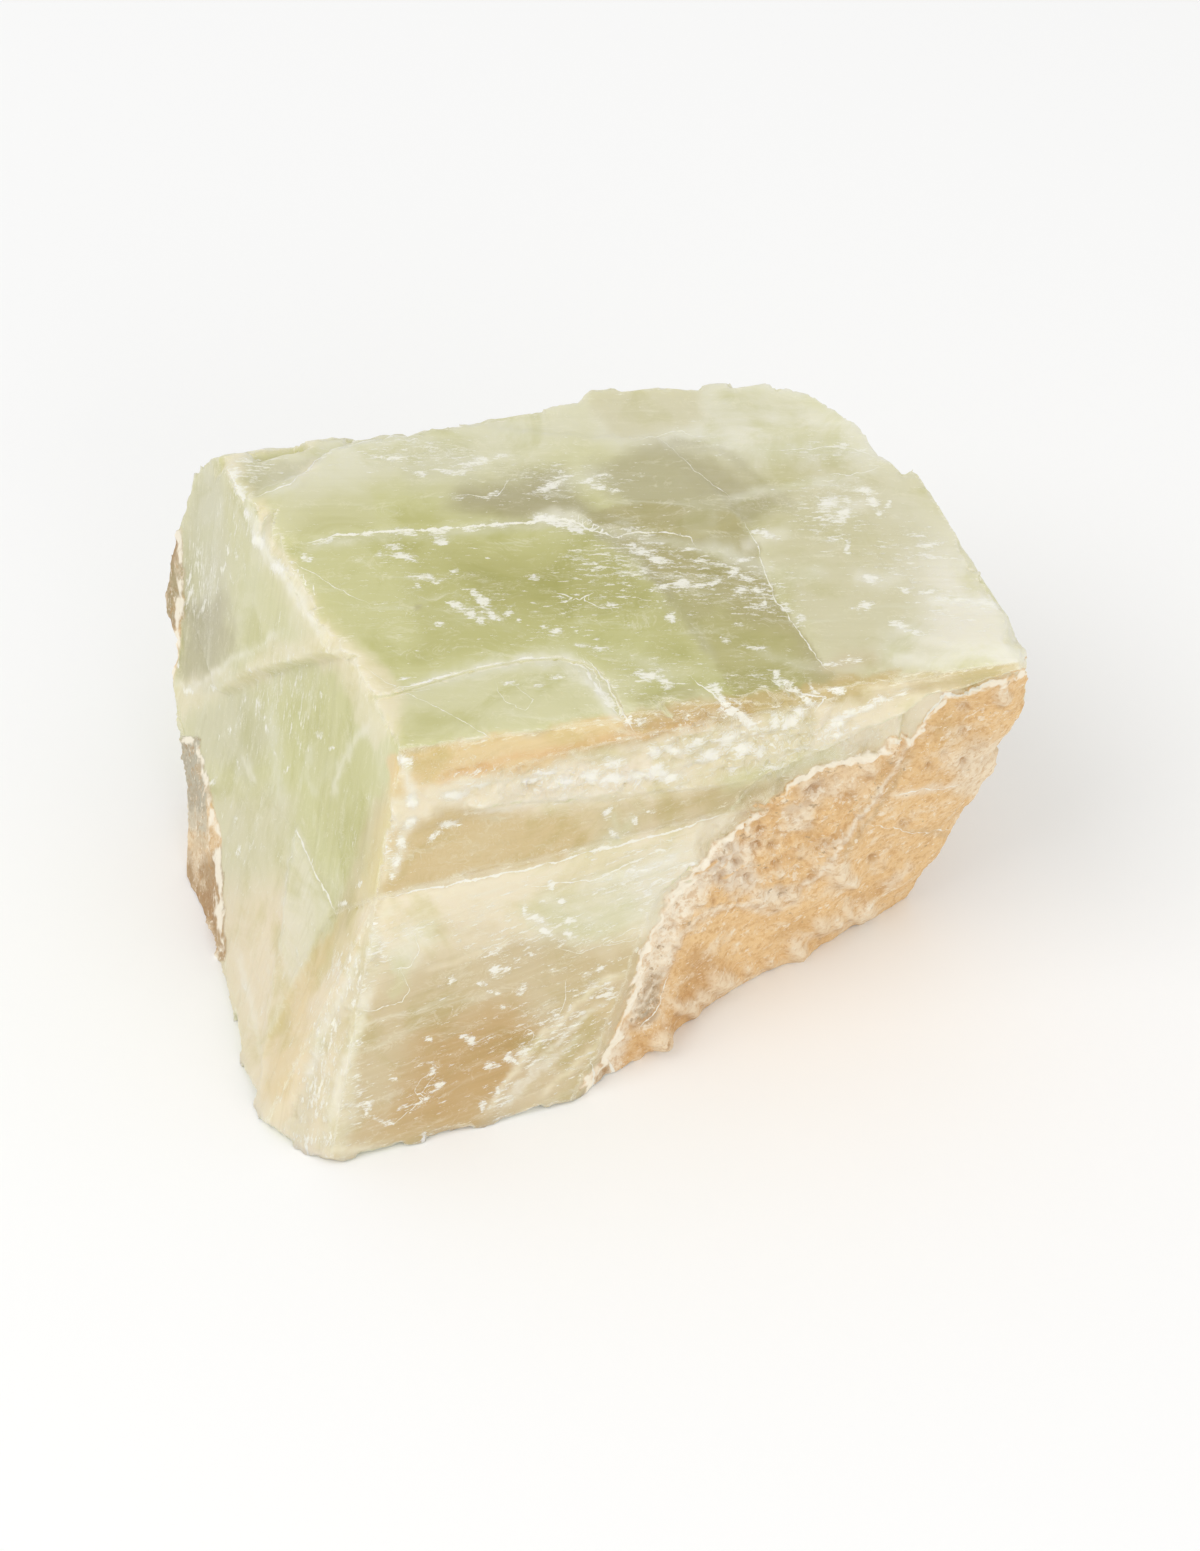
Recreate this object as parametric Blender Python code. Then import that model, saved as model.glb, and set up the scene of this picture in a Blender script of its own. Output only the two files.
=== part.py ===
"""Raw green calcite: one cleavage block with a rough ochre crust grown over its lower right.

Lengths are in millimetres while the block is cut, and become metres at the end. The cutting frame
has its origin at the near top corner: X runs along the long top edge, Y away from the front and
Z up. The finished object stands on Z = 0 with its box centred on the origin.
"""

import math
import random

import bmesh
import bpy
from mathutils import Matrix, Vector, noise

# ---------------------------------------------------------------- driving dimensions
METRES = 0.001
CLEAVAGE_ANGLE = math.radians(101.92)  # the obtuse face angle of calcite's cleavage rhomb
HEIGHT = 48.0  # top cleavage face to the face the block rests on
REACH = 60.0  # how far a shaped cutter runs past the block
FAR = 140.0  # an open end of a cleavage-aligned cutter

RIGHT_END = 74.2  # the right end below its broken steps, along the long edge

LEDGE_DEPTH = 16.8  # below the top face
TERRACE_DROP = 1.4  # the lower layer in the back left of the top
THIN_LAYER = 0.45  # one broken cleavage layer
CRUST_TERRACE = 1.5  # the thick crust stands this far over the thin crust

RUBBLE_SHIFT = Vector((7.3, 14.6, 21.9))  # picks one rough relief out of many

# columns across and rows down the grids of the shaped cutters
FRONT_GRID = (56, 15)
LEFT_GRID = (12, 18)
LIMB_GRID = (34, 24)
CRUST_GRID = (52, 36)
BACK_GRID = (46, 24)


def cleavage_axes():
    """Unit vectors along the long, short and steep edges, each pair CLEAVAGE_ANGLE apart."""
    cosine, sine = math.cos(CLEAVAGE_ANGLE), math.sin(CLEAVAGE_ANGLE)
    across = (cosine - cosine * cosine) / sine
    drop = math.sqrt(1.0 - cosine * cosine - across * across)
    return Vector((1, 0, 0)), Vector((cosine, sine, 0)), Vector((cosine, across, -drop))


LONG, SHORT, STEEP = cleavage_axes()
LEFT_OUT = SHORT.cross(STEEP).normalized()


def clear_scene():
    for found in list(bpy.data.objects):
        bpy.data.objects.remove(found, do_unlink=True)


def new_collection(name):
    made = bpy.data.collections.new(name)
    bpy.context.scene.collection.children.link(made)
    return made


def object_from(bm, name, collection):
    """A mesh object in metres from a bmesh in millimetres."""
    bm.normal_update()
    bmesh.ops.recalc_face_normals(bm, faces=bm.faces)
    bmesh.ops.scale(bm, vec=(METRES, METRES, METRES), verts=bm.verts)
    mesh = bpy.data.meshes.new(name)
    bm.to_mesh(mesh)
    bm.free()
    made = bpy.data.objects.new(name, mesh)
    collection.objects.link(made)
    return made


def cleavage_block(along, back, down):
    """A bmesh of the skewed box between two distances along each of the three edges."""
    bm = bmesh.new()
    bmesh.ops.create_cube(bm, size=1.0)
    for corner in bm.verts:
        shares = [value + 0.5 for value in corner.co]
        spans = [low + share * (high - low) for share, (low, high) in zip(shares, (along, back, down))]
        corner.co = LONG * spans[0] + SHORT * spans[1] + STEEP * spans[2]
    return bm


def keep_inside(bm, point, outward):
    """Cuts a convex bmesh with a plane, drops what lies outside and closes the cut."""
    cut = bmesh.ops.bisect_plane(
        bm,
        geom=bm.verts[:] + bm.edges[:] + bm.faces[:],
        dist=1e-6,
        plane_co=Vector(point),
        plane_no=Vector(outward),
        clear_outer=True,
    )
    rim = [item for item in cut["geom_cut"] if isinstance(item, bmesh.types.BMEdge)]
    bmesh.ops.edgeloop_fill(bm, edges=rim)


def plane_normal(first, second, third, towards):
    """The unit normal of the plane through three points, on the side of a direction."""
    first, second, third = Vector(first), Vector(second), Vector(third)
    normal = (second - first).cross(third - first).normalized()
    return normal if normal.dot(Vector(towards)) > 0 else -normal


def slab_beyond(planes):
    """A convex bmesh: a large cube kept on the inner side of each (point, outward) plane."""
    bm = bmesh.new()
    bmesh.ops.create_cube(bm, size=4 * REACH)
    for point, outward in planes:
        keep_inside(bm, point, outward)
    return bm


def mixed(first, second, share):
    return first + (second - first) * share


def point_in_table(table, across, down):
    """The point at a share (0 to 1) across the sections and down their rows, straight in between."""
    column = min(across * (len(table) - 1), len(table) - 1 - 1e-9)
    row = min(down * (len(table[0]) - 1), len(table[0]) - 1 - 1e-9)
    left, top = int(column), int(row)
    upper = mixed(table[left][top], table[left + 1][top], column - left)
    lower = mixed(table[left][top + 1], table[left + 1][top + 1], column - left)
    return mixed(upper, lower, row - top)


def cutter_over(table, columns, rows, push, depth, relief):
    """A closed bmesh whose near side follows a table of points, raised along push by relief(point)."""
    bm = bmesh.new()
    bmesh.ops.create_grid(bm, x_segments=columns, y_segments=rows, size=1.0)
    push = Vector(push).normalized()
    for corner in bm.verts:
        place = point_in_table(table, (corner.co.x + 1) / 2, (1 - corner.co.y) / 2)
        corner.co = place + push * relief(place)
    grown = bmesh.ops.extrude_face_region(bm, geom=bm.faces[:])
    moved = [item for item in grown["geom"] if isinstance(item, bmesh.types.BMVert)]
    bmesh.ops.translate(bm, vec=push * depth, verts=moved)
    return bm


def prism(outline, low, high):
    """A bmesh of a flat outline of (x, y) points, raised from one height to another."""
    bm = bmesh.new()
    base = bm.faces.new([bm.verts.new((x, y, low)) for x, y in outline])
    grown = bmesh.ops.extrude_face_region(bm, geom=[base])
    moved = [item for item in grown["geom"] if isinstance(item, bmesh.types.BMVert)]
    bmesh.ops.translate(bm, vec=(0, 0, high - low), verts=moved)
    return bm


def rubble(point, size, height):
    """Rough natural relief: broad swells with finer grains on them."""
    return height * noise.fractal(Vector(point) / size + RUBBLE_SHIFT, 0.9, 2.1, 3)


def mounds(point, features):
    """The sum of round lumps (height above 0) and pits (below 0) of (x, y, z, radius, height)."""
    total = 0.0
    for x, y, z, radius, height in features:
        gap = (Vector(point) - Vector((x, y, z))).length / radius
        total += height * math.exp(-gap * gap)
    return total


# ---------------------------------------------------------------- the front
FRONT_PROFILES = (
    # x, then (y, z) of the top edge, bevel foot, crumbled foot, band head and band foot
    (-30, ((0.0, 0.0), (-1.1, -4.0), (-2.1, -8.0), (-2.8, -10.5), (-4.4, -LEDGE_DEPTH))),
    (-1, ((0.0, 0.0), (-1.5, -4.2), (-2.4, -7.6), (-2.5, -10.3), (-3.7, -LEDGE_DEPTH))),
    (6, ((0.0, 0.0), (-2.5, -4.1), (-3.0, -6.9), (-1.7, -9.6), (-2.0, -LEDGE_DEPTH))),
    (12, ((0.0, 0.0), (-2.0, -3.2), (-2.3, -8.3), (-0.6, -10.3), (-0.4, -LEDGE_DEPTH))),
    (20, ((0.0, 0.0), (-1.4, -2.3), (-1.6, -9.7), (0.2, -11.5), (1.4, -LEDGE_DEPTH))),
    (33, ((0.0, 0.0), (-0.9, -1.8), (-0.9, -11.2), (0.5, -13.0), (0.9, -LEDGE_DEPTH))),
    (41, ((0.0, 0.0), (-0.7, -1.5), (-1.1, -10.0), (-1.0, -13.0), (-1.2, -LEDGE_DEPTH))),
    (50, ((0.0, 0.0), (-0.4, -1.0), (-1.0, -8.0), (-2.5, -12.0), (-3.0, -LEDGE_DEPTH))),
    (90, ((0.0, 0.0), (-0.3, -0.9), (-1.0, -8.0), (-2.5, -12.0), (-3.0, -LEDGE_DEPTH))),
)
LOWER_FACE = ((-2.9, -4.6, -LEDGE_DEPTH), (33.1, 0.5, -LEDGE_DEPTH), (-10.5, -13.0, -HEIGHT))
LOWER_END = (40, 0, 0)  # the crust takes over from here
LEDGE_OPEN = (LOWER_FACE[0], LOWER_FACE[1], (-2.9, -14.6, -LEDGE_DEPTH + 3.6))  # clear of the crumbled band


def crumble(point):
    """The broken band under the top bevel, between about 3 and 10 mm down."""
    share = max(0.0, 1.0 - abs(point.z + 6.5) / 4.5)
    return share * rubble(point, 4.0, 0.9)


def front_recess():
    """Everything in front of the top bevel, the crumbled band and the smooth band under it."""
    table = []
    for x, profile in FRONT_PROFILES:
        above = Vector((x, profile[0][0], 4.0))
        table.append([above] + [Vector((x, y, z)) for y, z in profile])
    return cutter_over(table, *FRONT_GRID, (0, -1, 0), REACH, crumble)


def front_lower():
    """Everything in front of the lower face, which is turned 8 degrees from the top edge."""
    outward = plane_normal(*LOWER_FACE, towards=(0, -1, 0))
    upward = plane_normal(*LEDGE_OPEN, towards=(0, 0, 1))
    return slab_beyond([(LOWER_FACE[0], -outward), (LOWER_FACE[0], upward), (LOWER_END, LONG)])


# ---------------------------------------------------------------- the left side
LEFT_HEIGHTS = (6, 0, -12, None, -36, -HEIGHT, -54)  # None is the crease under the upper face
LEFT_PROFILES = (
    # y, the crease's height, then how far the flare below it stands out at the last three heights
    (-20, -16.0, (4.0, 6.6, 7.8)),
    (-5, -16.5, (3.5, 5.7, 6.9)),
    (2, -25.2, (2.9, 5.0, 6.0)),
    (14, -24.6, (1.9, 2.9, 3.4)),
    (26, -28.0, (0.8, 0.9, 0.9)),
    (40, -30.0, (0.6, 1.2, 1.2)),
    (62, -30.0, (0.6, 1.2, 1.2)),
)
CORNER_BEVEL = ((-16.9, -7.4, -HEIGHT), (-11.6, -12.7, -HEIGHT), (-4.2, -5.3, -19.0))
LIMB_X = -18.5  # the rough far left
LIMB_LUMPS = (
    (-19, 30, -46, 5.5, 2.4),
    (-19, 38, -41, 4.0, 1.2),
    (-19, 54, -24, 5.0, 0.4),
    (-19, 48, -34, 5.0, 0.8),
)


def left_plane_x(y, z):
    """Where the upper left cleavage face, which holds the origin, lies at a given y and z."""
    return -(LEFT_OUT.y * y + LEFT_OUT.z * z) / LEFT_OUT.x


def left_side():
    """Everything left of the cleavage face and of the part that flares out below its crease."""
    table = []
    for y, crease, flare in LEFT_PROFILES:
        heights = [crease if z is None else z for z in LEFT_HEIGHTS]
        stands_out = (0.0,) * (len(heights) - len(flare)) + flare
        table.append([Vector((left_plane_x(y, z) - out, y, z)) for z, out in zip(heights, stands_out)])
    return cutter_over(table, *LEFT_GRID, (-1, 0, 0), REACH, lambda point: 0.0)


def corner_bevel():
    outward = plane_normal(*CORNER_BEVEL, towards=(-1, -1, 0))
    return slab_beyond([(CORNER_BEVEL[0], -outward), ((0, 0, -LEDGE_DEPTH - 1.3), (0, 0, 1))])


def limb_relief(point):
    roughness = min(1.0, max(0.0, (point.y - 18.0) / 10.0))
    return roughness * rubble(point, 5.0, 0.8) + mounds(point, LIMB_LUMPS)


def left_limb():
    table = []
    for y in (-20, 5, 22, 70):
        lean = 0.6 * max(0.0, 5 - y) / 25
        table.append([Vector((LIMB_X - lean, y, z)) for z in (6, -54)])
    return cutter_over(table, *LIMB_GRID, (-1, 0, 0), REACH, limb_relief)


# ---------------------------------------------------------------- the crust
CRUST_PROFILES = (
    # five points from above the top face to below the base
    ((14, -18, 8), (20, -12, -9), (10, -14, -28), (4, -19, -48), (2, -21, -54)),
    ((28, -14, 4), (32.0, 1.2, -17.0), (27.0, -3.6, -32.5), (19.8, -7.9, -48), (17.5, -9.4, -54)),
    ((42, -14, 4), (43.5, 1.4, -9.5), (41.0, 1.4, -28.0), (36.6, 2.9, -48), (35.3, 3.5, -54)),
    ((54, -12, 4), (54.0, 1.4, -5.0), (51.0, 2.8, -26.0), (46.9, 6.6, -48), (45.6, 7.5, -54)),
    ((66, -10, 4), (65.0, 1.4, -2.5), (61.5, 6.0, -26.0), (58.2, 12.6, -48), (57.0, 13.9, -54)),
    ((84, 0, 4), (81.0, 8.0, -3.0), (78.0, 15.0, -26.0), (76.7, 24.1, -48), (75.7, 25.9, -54)),
)
CRUST_OUT = (0.47, -0.88, -0.08)
TERRACE_FOOT = (
    # (x, z) along the foot of the thick crust
    (20, -22.0), (31, -24.5), (37.5, -26.0), (44, -25.8), (48, -21.5), (51, -15.9), (53.5, -7.0), (55, 8),
)
CRUST_FEATURES = (
    (48.5, 1.5, -27.5, 2.4, 1.5),
    (44.0, 1.5, -36.0, 2.4, 1.1),
    (26.5, -4.5, -44.5, 2.4, 1.8),
    (62.0, 2.0, -6.5, 2.0, 1.0),
    (58.0, 10.0, -40.0, 3.5, 0.9),
    (37.5, -0.5, -21.0, 3.2, -1.6),
    (46.0, 0.5, -16.0, 1.8, -1.4),
    (25.5, -4.0, -37.0, 3.0, -1.2),
    (20.5, -7.0, -45.5, 2.0, -1.0),
)


def on_terrace(point):
    """1 on the thick crust, 0 on the thin crust, and a short slope between the two."""
    for (left, low), (right, high) in zip(TERRACE_FOOT, TERRACE_FOOT[1:]):
        if left <= point.x <= right:
            foot = mixed(low, high, (point.x - left) / (right - left))
            return min(1.0, max(0.0, (point.z - foot) / 1.2))
    return 0.0


def crust_relief(point):
    terrace = on_terrace(point)
    grains = rubble(point, 5.0, 0.45 + 0.5 * terrace)
    return CRUST_TERRACE * (terrace - 0.8) + grains + mounds(point, CRUST_FEATURES)


def crust_side():
    table = [[Vector(point) for point in profile] for profile in CRUST_PROFILES]
    return cutter_over(table, *CRUST_GRID, CRUST_OUT, REACH, crust_relief)


# ---------------------------------------------------------------- the right end
RIGHT_BEVEL = ((66.0, 0.0, 0.0), (62.4, 20.7, 0.0), (66.8, 6.0, -10.0))
BACK_CORNER = ((63.6, 42.5), (61.8, 46.5), (58.3, 49.2))  # long and short edge shares of the rounding


RIGHT_STEPS = (
    # spans along the long, short and steep edges of the steps broken off the right end
    ((72.0, FAR), (-FAR, FAR), (-FAR, 22.5)),
    ((72.6, FAR), (25.0, FAR), (-FAR, 37.0)),
    ((70.9, FAR), (37.0, FAR), (-FAR, FAR)),
)


def right_end():
    """The cleavage face at the right and the steps above and behind its middle."""
    return [slab_beyond([(LONG * RIGHT_END, LEFT_OUT)])] + [cleavage_block(*spans) for spans in RIGHT_STEPS]


def right_bevel():
    outward = plane_normal(*RIGHT_BEVEL, towards=(1, 0, 0))
    return slab_beyond([(RIGHT_BEVEL[0], -outward)])


def back_corner():
    """The corner between the right end and the back, broken off in two facets."""
    made = []
    for near, far in zip(BACK_CORNER, BACK_CORNER[1:]):
        start = LONG * near[0] + SHORT * near[1]
        end = LONG * far[0] + SHORT * far[1]
        outward = plane_normal(start, end, start + STEEP - LEFT_OUT * 0.12, towards=(1, 1, 0))
        made.append(slab_beyond([(start, -outward)]))
    return made


# ---------------------------------------------------------------- the back
BACK_DEPTHS = (5, 0, -7, -14, -21, -30, -38, -48, -54)
BACK_PROFILES = (
    # x, then y at each of the depths above
    (-34, (47.3, 47.3, 54.5, 56.0, 56.3, 55.0, 51.5, 45.0, 41.0)),
    (-14, (47.3, 47.3, 54.5, 56.0, 56.3, 55.0, 51.5, 45.0, 41.0)),
    (-4, (48.6, 48.6, 53.0, 55.5, 56.0, 54.0, 50.5, 44.0, 40.0)),
    (12, (48.2, 48.2, 51.5, 53.5, 54.5, 53.0, 49.0, 42.5, 39.0)),
    (27.4, (48.9, 48.9, 51.0, 52.0, 53.3, 52.0, 48.0, 43.0, 40.0)),
    (28.9, (50.7, 50.7, 52.6, 53.2, 53.6, 52.0, 48.0, 43.0, 40.0)),
    (42, (49.3, 49.3, 51.5, 52.5, 53.5, 52.5, 50.0, 45.0, 42.0)),
    (56, (47.2, 47.2, 49.0, 50.0, 50.0, 49.0, 46.0, 41.0, 38.0)),
    (80, (46.0, 46.0, 47.0, 48.0, 48.0, 46.0, 43.0, 38.0, 35.0)),
)
BACK_STEPS = (
    # spans along the long, short and steep edges of the steps broken off the back
    ((47.0, FAR), (51.2, FAR), (-FAR, 23.0)),
    ((-FAR, 14.0), (58.5, FAR), (30.0, FAR)),
)
BACK_FEATURES = (
    (4, 55, -20, 7, 1.6),
    (22, 53, -34, 8, 1.8),
    (40, 53, -14, 6, 1.2),
    (13, 53, -40, 5, -1.8),
    (30, 52, -20, 5, -1.5),
    (50, 50, -34, 6, -1.6),
)


def back_relief(point):
    below_top = min(1.0, max(0.15, -point.z / 6.0))
    return below_top * rubble(point, 7.0, 1.5) + mounds(point, BACK_FEATURES)


def rough_back():
    table = []
    for x, reaches in BACK_PROFILES:
        table.append([Vector((x, y, z)) for y, z in zip(reaches, BACK_DEPTHS)])
    surface = cutter_over(table, *BACK_GRID, (0, 1, 0), REACH, back_relief)
    return [surface] + [cleavage_block(*spans) for spans in BACK_STEPS]


# ---------------------------------------------------------------- the top
LOWER_LAYER = (
    (-10.2, 40.2), (-8.3, 41.3), (-5.2, 42.2), (-2.9, 43.1), (-1.4, 44.7), (-0.2, 46.4),
    (3.2, 47.3), (7.6, 47.6), (14.0, 46.8), (15.5, 70.0), (-40.0, 70.0), (-40.0, 39.6),
)
ARCH_LAYER = (
    (-15.0, 7.3), (0.7, 7.5), (4.4, 8.4), (8.7, 9.4), (14.0, 9.9), (18.0, 9.5), (20.4, 8.3),
    (21.6, 6.6), (22.6, 3.4), (23.2, -8.0), (-15.0, -8.0),
)


def top_layers():
    return [
        prism(LOWER_LAYER, -TERRACE_DROP, 10.0),
        prism(ARCH_LAYER, -THIN_LAYER, 10.0),
        cleavage_block((64.8, FAR), (33.8, FAR), (-FAR, 16.0)),
    ]


# ---------------------------------------------------------------- broken edges
CHIP_SIZE = 5.0  # of the cube whose side makes the chip
CHIP_SEED = 4
CORNER_CHIP_SPIN = 0.3
CHIPPED_EDGES = (
    # start, end, outward direction, how many chips and how deep the deepest one is
    ((-0.9, 4.0, 0.0), (-9.0, 43.0, 0.0), (-0.7, -0.1, 0.7), 7, 0.6),
    ((3.0, 0.0, 0.0), (60.0, 0.0, 0.0), (0.0, -0.4, 0.9), 6, 0.25),
    ((65.3, 2.0, 0.0), (62.3, 20.0, 0.0), (0.75, 0.1, 0.66), 3, 0.5),
    ((-6.0, 48.2, -1.4), (25.0, 49.0, -0.4), (0.0, 0.75, 0.66), 5, 0.7),
    ((31.0, 50.4, 0.0), (54.0, 48.0, 0.0), (0.0, 0.75, 0.66), 4, 0.6),
    ((-8.0, -12.6, -48.0), (17.0, -9.2, -48.0), (0.0, -0.75, -0.66), 4, 0.6),
    ((-17.5, -4.0, -48.0), (-19.0, 14.0, -48.0), (-0.8, -0.1, -0.6), 3, 0.8),
)
CORNER_CHIPS = (
    # point, outward direction and depth of the larger breaks at corners
    ((65.6, 0.2, -0.6), (0.8, -0.45, 0.4), 1.1),
    ((-16.7, -7.6, -48.0), (-0.6, -0.5, -0.62), 0.9),
    ((-11.5, -12.8, -48.0), (-0.3, -0.75, -0.6), 0.8),
    ((-12.5, 47.4, -1.5), (-0.55, 0.6, 0.58), 1.2),
    ((59.0, 33.4, 0.0), (0.8, 0.3, 0.5), 0.8),
)


def chip(point, outward, depth, spin):
    """A bmesh cube turned so that one side cuts an edge or corner to the given depth."""
    outward = Vector(outward).normalized()
    turn = outward.to_track_quat("Z", "Y").to_matrix().to_4x4() @ Matrix.Rotation(spin, 4, "Z")
    centre = Vector(point) + outward * (CHIP_SIZE / 2 - depth)
    bm = bmesh.new()
    bmesh.ops.create_cube(bm, size=CHIP_SIZE, matrix=Matrix.Translation(centre) @ turn)
    return bm


def chips():
    """One bmesh for each chip, so that neighbouring chips may overlap."""
    dice = random.Random(CHIP_SEED)
    made = []
    for start, end, outward, count, deepest in CHIPPED_EDGES:
        for number in range(count):
            share = (number + dice.uniform(0.15, 0.85)) / count
            point = mixed(Vector(start), Vector(end), share)
            lean = Vector([dice.uniform(-0.28, 0.28) for _ in range(3)])
            depth = deepest * dice.uniform(0.35, 1.0)
            made.append(chip(point, Vector(outward) + lean, depth, dice.uniform(0, math.pi)))
    for point, outward, depth in CORNER_CHIPS:
        made.append(chip(point, outward, depth, CORNER_CHIP_SPIN))
    return made


# ---------------------------------------------------------------- the object
ROUGH_BLOCK = ((-14, RIGHT_END + 6), (-4, 75), (0, HEIGHT / -STEEP.z))  # spans along the three edges
BODY_COLOUR = (0.60, 0.62, 0.36, 1.0)
BODY_ROUGHNESS = 0.38


def green_calcite():
    made = bpy.data.materials.new("green_calcite")
    made.use_nodes = True
    shader = made.node_tree.nodes["Principled BSDF"]
    shader.inputs["Base Color"].default_value = BODY_COLOUR
    shader.inputs["Roughness"].default_value = BODY_ROUGHNESS
    shader.inputs["Metallic"].default_value = 0.0
    return made


def cut_away(stone, name, shape, stand, cutters):
    """Hides a cutter made from a bmesh and takes it off the stone."""
    cutter = object_from(shape, name, cutters)
    cutter.parent = stand
    cutter.hide_render = True
    cutter.display_type = "WIRE"
    cut = stone.modifiers.new(name, "BOOLEAN")
    cut.operation = "DIFFERENCE"
    cut.solver = "MANIFOLD"  # the exact solver leaves open edges where planes meet at shallow angles
    cut.object = cutter


def stand_on_origin(stone, stand):
    """Moves the parent empty so that the cut stone stands centred on the origin."""
    bpy.context.view_layer.update()
    cut_stone = stone.evaluated_get(bpy.context.evaluated_depsgraph_get())
    corners = [Vector(corner) for corner in cut_stone.bound_box]
    low = [min(corner[axis] for corner in corners) for axis in range(3)]
    high = [max(corner[axis] for corner in corners) for axis in range(3)]
    stand.location = (-(low[0] + high[0]) / 2, -(low[1] + high[1]) / 2, -low[2])


def build():
    clear_scene()
    parts = new_collection("calcite")
    cutters = new_collection("cutters")
    stand = bpy.data.objects.new("stand", None)
    parts.objects.link(stand)
    stone = object_from(cleavage_block(*ROUGH_BLOCK), "raw_calcite", parts)
    stone.parent = stand
    stone.data.materials.append(green_calcite())
    steps = (
        ("front_recess", [front_recess()]),
        ("front_lower", [front_lower()]),
        ("left_side", [left_side()]),
        ("corner_bevel", [corner_bevel()]),
        ("left_limb", [left_limb()]),
        ("right_end", right_end()),
        ("right_bevel", [right_bevel()]),
        ("back_corner", back_corner()),
        ("rough_back", rough_back()),
        ("top_layer", top_layers()),
        ("crust_side", [crust_side()]),
        ("chip", chips()),
    )
    for name, shapes in steps:
        for number, shape in enumerate(shapes, 1):
            cut_away(stone, f"{name}_{number}", shape, stand, cutters)
    stand_on_origin(stone, stand)


build()
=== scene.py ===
import math

import bmesh
import bpy
import numpy as np
from mathutils import Euler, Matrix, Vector, noise
from mathutils.bvhtree import BVHTree
from mathutils.kdtree import KDTree


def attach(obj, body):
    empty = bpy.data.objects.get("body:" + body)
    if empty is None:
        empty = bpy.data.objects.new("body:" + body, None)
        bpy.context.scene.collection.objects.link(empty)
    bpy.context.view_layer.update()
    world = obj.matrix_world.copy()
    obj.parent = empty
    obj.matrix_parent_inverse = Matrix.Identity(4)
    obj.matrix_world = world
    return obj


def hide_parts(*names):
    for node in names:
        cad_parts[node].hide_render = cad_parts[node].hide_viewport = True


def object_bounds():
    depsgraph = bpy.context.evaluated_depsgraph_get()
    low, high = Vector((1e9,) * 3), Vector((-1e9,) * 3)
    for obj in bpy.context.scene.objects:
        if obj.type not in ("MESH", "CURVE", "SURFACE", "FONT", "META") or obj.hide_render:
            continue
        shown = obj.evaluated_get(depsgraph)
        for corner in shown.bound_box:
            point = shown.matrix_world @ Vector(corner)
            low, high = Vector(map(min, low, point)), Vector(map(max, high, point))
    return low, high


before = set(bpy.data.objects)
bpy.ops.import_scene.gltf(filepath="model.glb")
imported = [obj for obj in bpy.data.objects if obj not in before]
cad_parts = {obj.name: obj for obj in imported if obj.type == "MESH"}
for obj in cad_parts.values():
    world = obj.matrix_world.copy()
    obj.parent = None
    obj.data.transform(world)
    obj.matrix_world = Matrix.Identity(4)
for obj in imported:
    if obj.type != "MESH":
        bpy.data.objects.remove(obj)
cadBox = [list(corner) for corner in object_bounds()]
perMetre = 1000.0  # the stone is shaped and painted in millimetres

cameraSetting = {
    "place": (-0.06143, -0.32643, 0.35129),
    "tilt": 44.85,
    "turn": -10.898,
    "lens": 100.0,
    "sensor": 36.0,
    "nearest": 0.01,
    "farthest": 20.0,
    "viewSize": (1200, 1551),
}


def cameraTurn():
    return Euler((math.radians(cameraSetting["tilt"]), 0, math.radians(cameraSetting["turn"])))


def makeCamera():
    data = bpy.data.cameras.new("studioCamera")
    data.lens = cameraSetting["lens"]
    data.sensor_width = cameraSetting["sensor"]
    data.clip_start = cameraSetting["nearest"]
    data.clip_end = cameraSetting["farthest"]
    made = bpy.data.objects.new("studioCamera", data)
    made.location = cameraSetting["place"]
    made.rotation_euler = cameraTurn()
    bpy.context.scene.collection.objects.link(made)
    bpy.context.scene.camera = made


def viewOf(points):
    # where points in metres land in the camera's view, across and down from its top left corner
    right, up, back = (np.array(axis) for axis in cameraTurn().to_matrix().col)
    away = points - np.array(cameraSetting["place"])
    wide, tall = cameraSetting["viewSize"]
    focal = cameraSetting["lens"] / cameraSetting["sensor"] * tall
    depth = -(away @ back)
    return wide / 2 + focal * (away @ right) / depth, tall / 2 - focal * (away @ up) / depth


makeCamera()
print("camera placed")

meshSetting = {
    "octree": 8,
    "fill": 0.43,  # share of the octree that the stone fills
    "sharpness": 1.0,
    "solidMergeGap": 1e-6,  # metres
    "mergeGap": 1e-5,
    "fineFacing": 0.0,  # faces turned this far to the camera or more are split finer
    "mendPasses": 6,
    "strayGap": 0.08,  # millimetres
    "keenBend": 0.35,  # radians
    "keenPasses": 2,
    "softening": 0.5,
    "smoothAngle": 32.0,
    "edgeAngle": 24.0,  # a sharper bend in the solid counts as a broken edge
    "edgeStep": 0.4,
    "wornPasses": 18,
    "wornSpots": ((-6.2, 25.8, 47.5, 2.4), (43.0, -13.4, 26.4, 2.6), (-30.4, 15.6, 47.8, 2.2),
                  (42.0, -19.0, 47.6, 2.4), (-36.5, 32.5, 41.5, 3.0), (15.8, -21.1, 31.4, 1.2)),  # and reach
}

# the clear band above the ledge, in millimetres: lip and brow are the lines that its foot and top come out to
ledgeSetting = {
    "heights": (30.9, 39.2),
    "depths": (-26.5, -20.0),
    "rightEnd": 12.0,
    "foot": 31.0,
    "rise": 7.5,
    "lineStart": -18.0,
    "lip": -25.77,
    "lipSlope": 0.1417,
    "brow": -24.6,
    "browSlope": 0.05,
    "setBack": 0.3,
}


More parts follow.
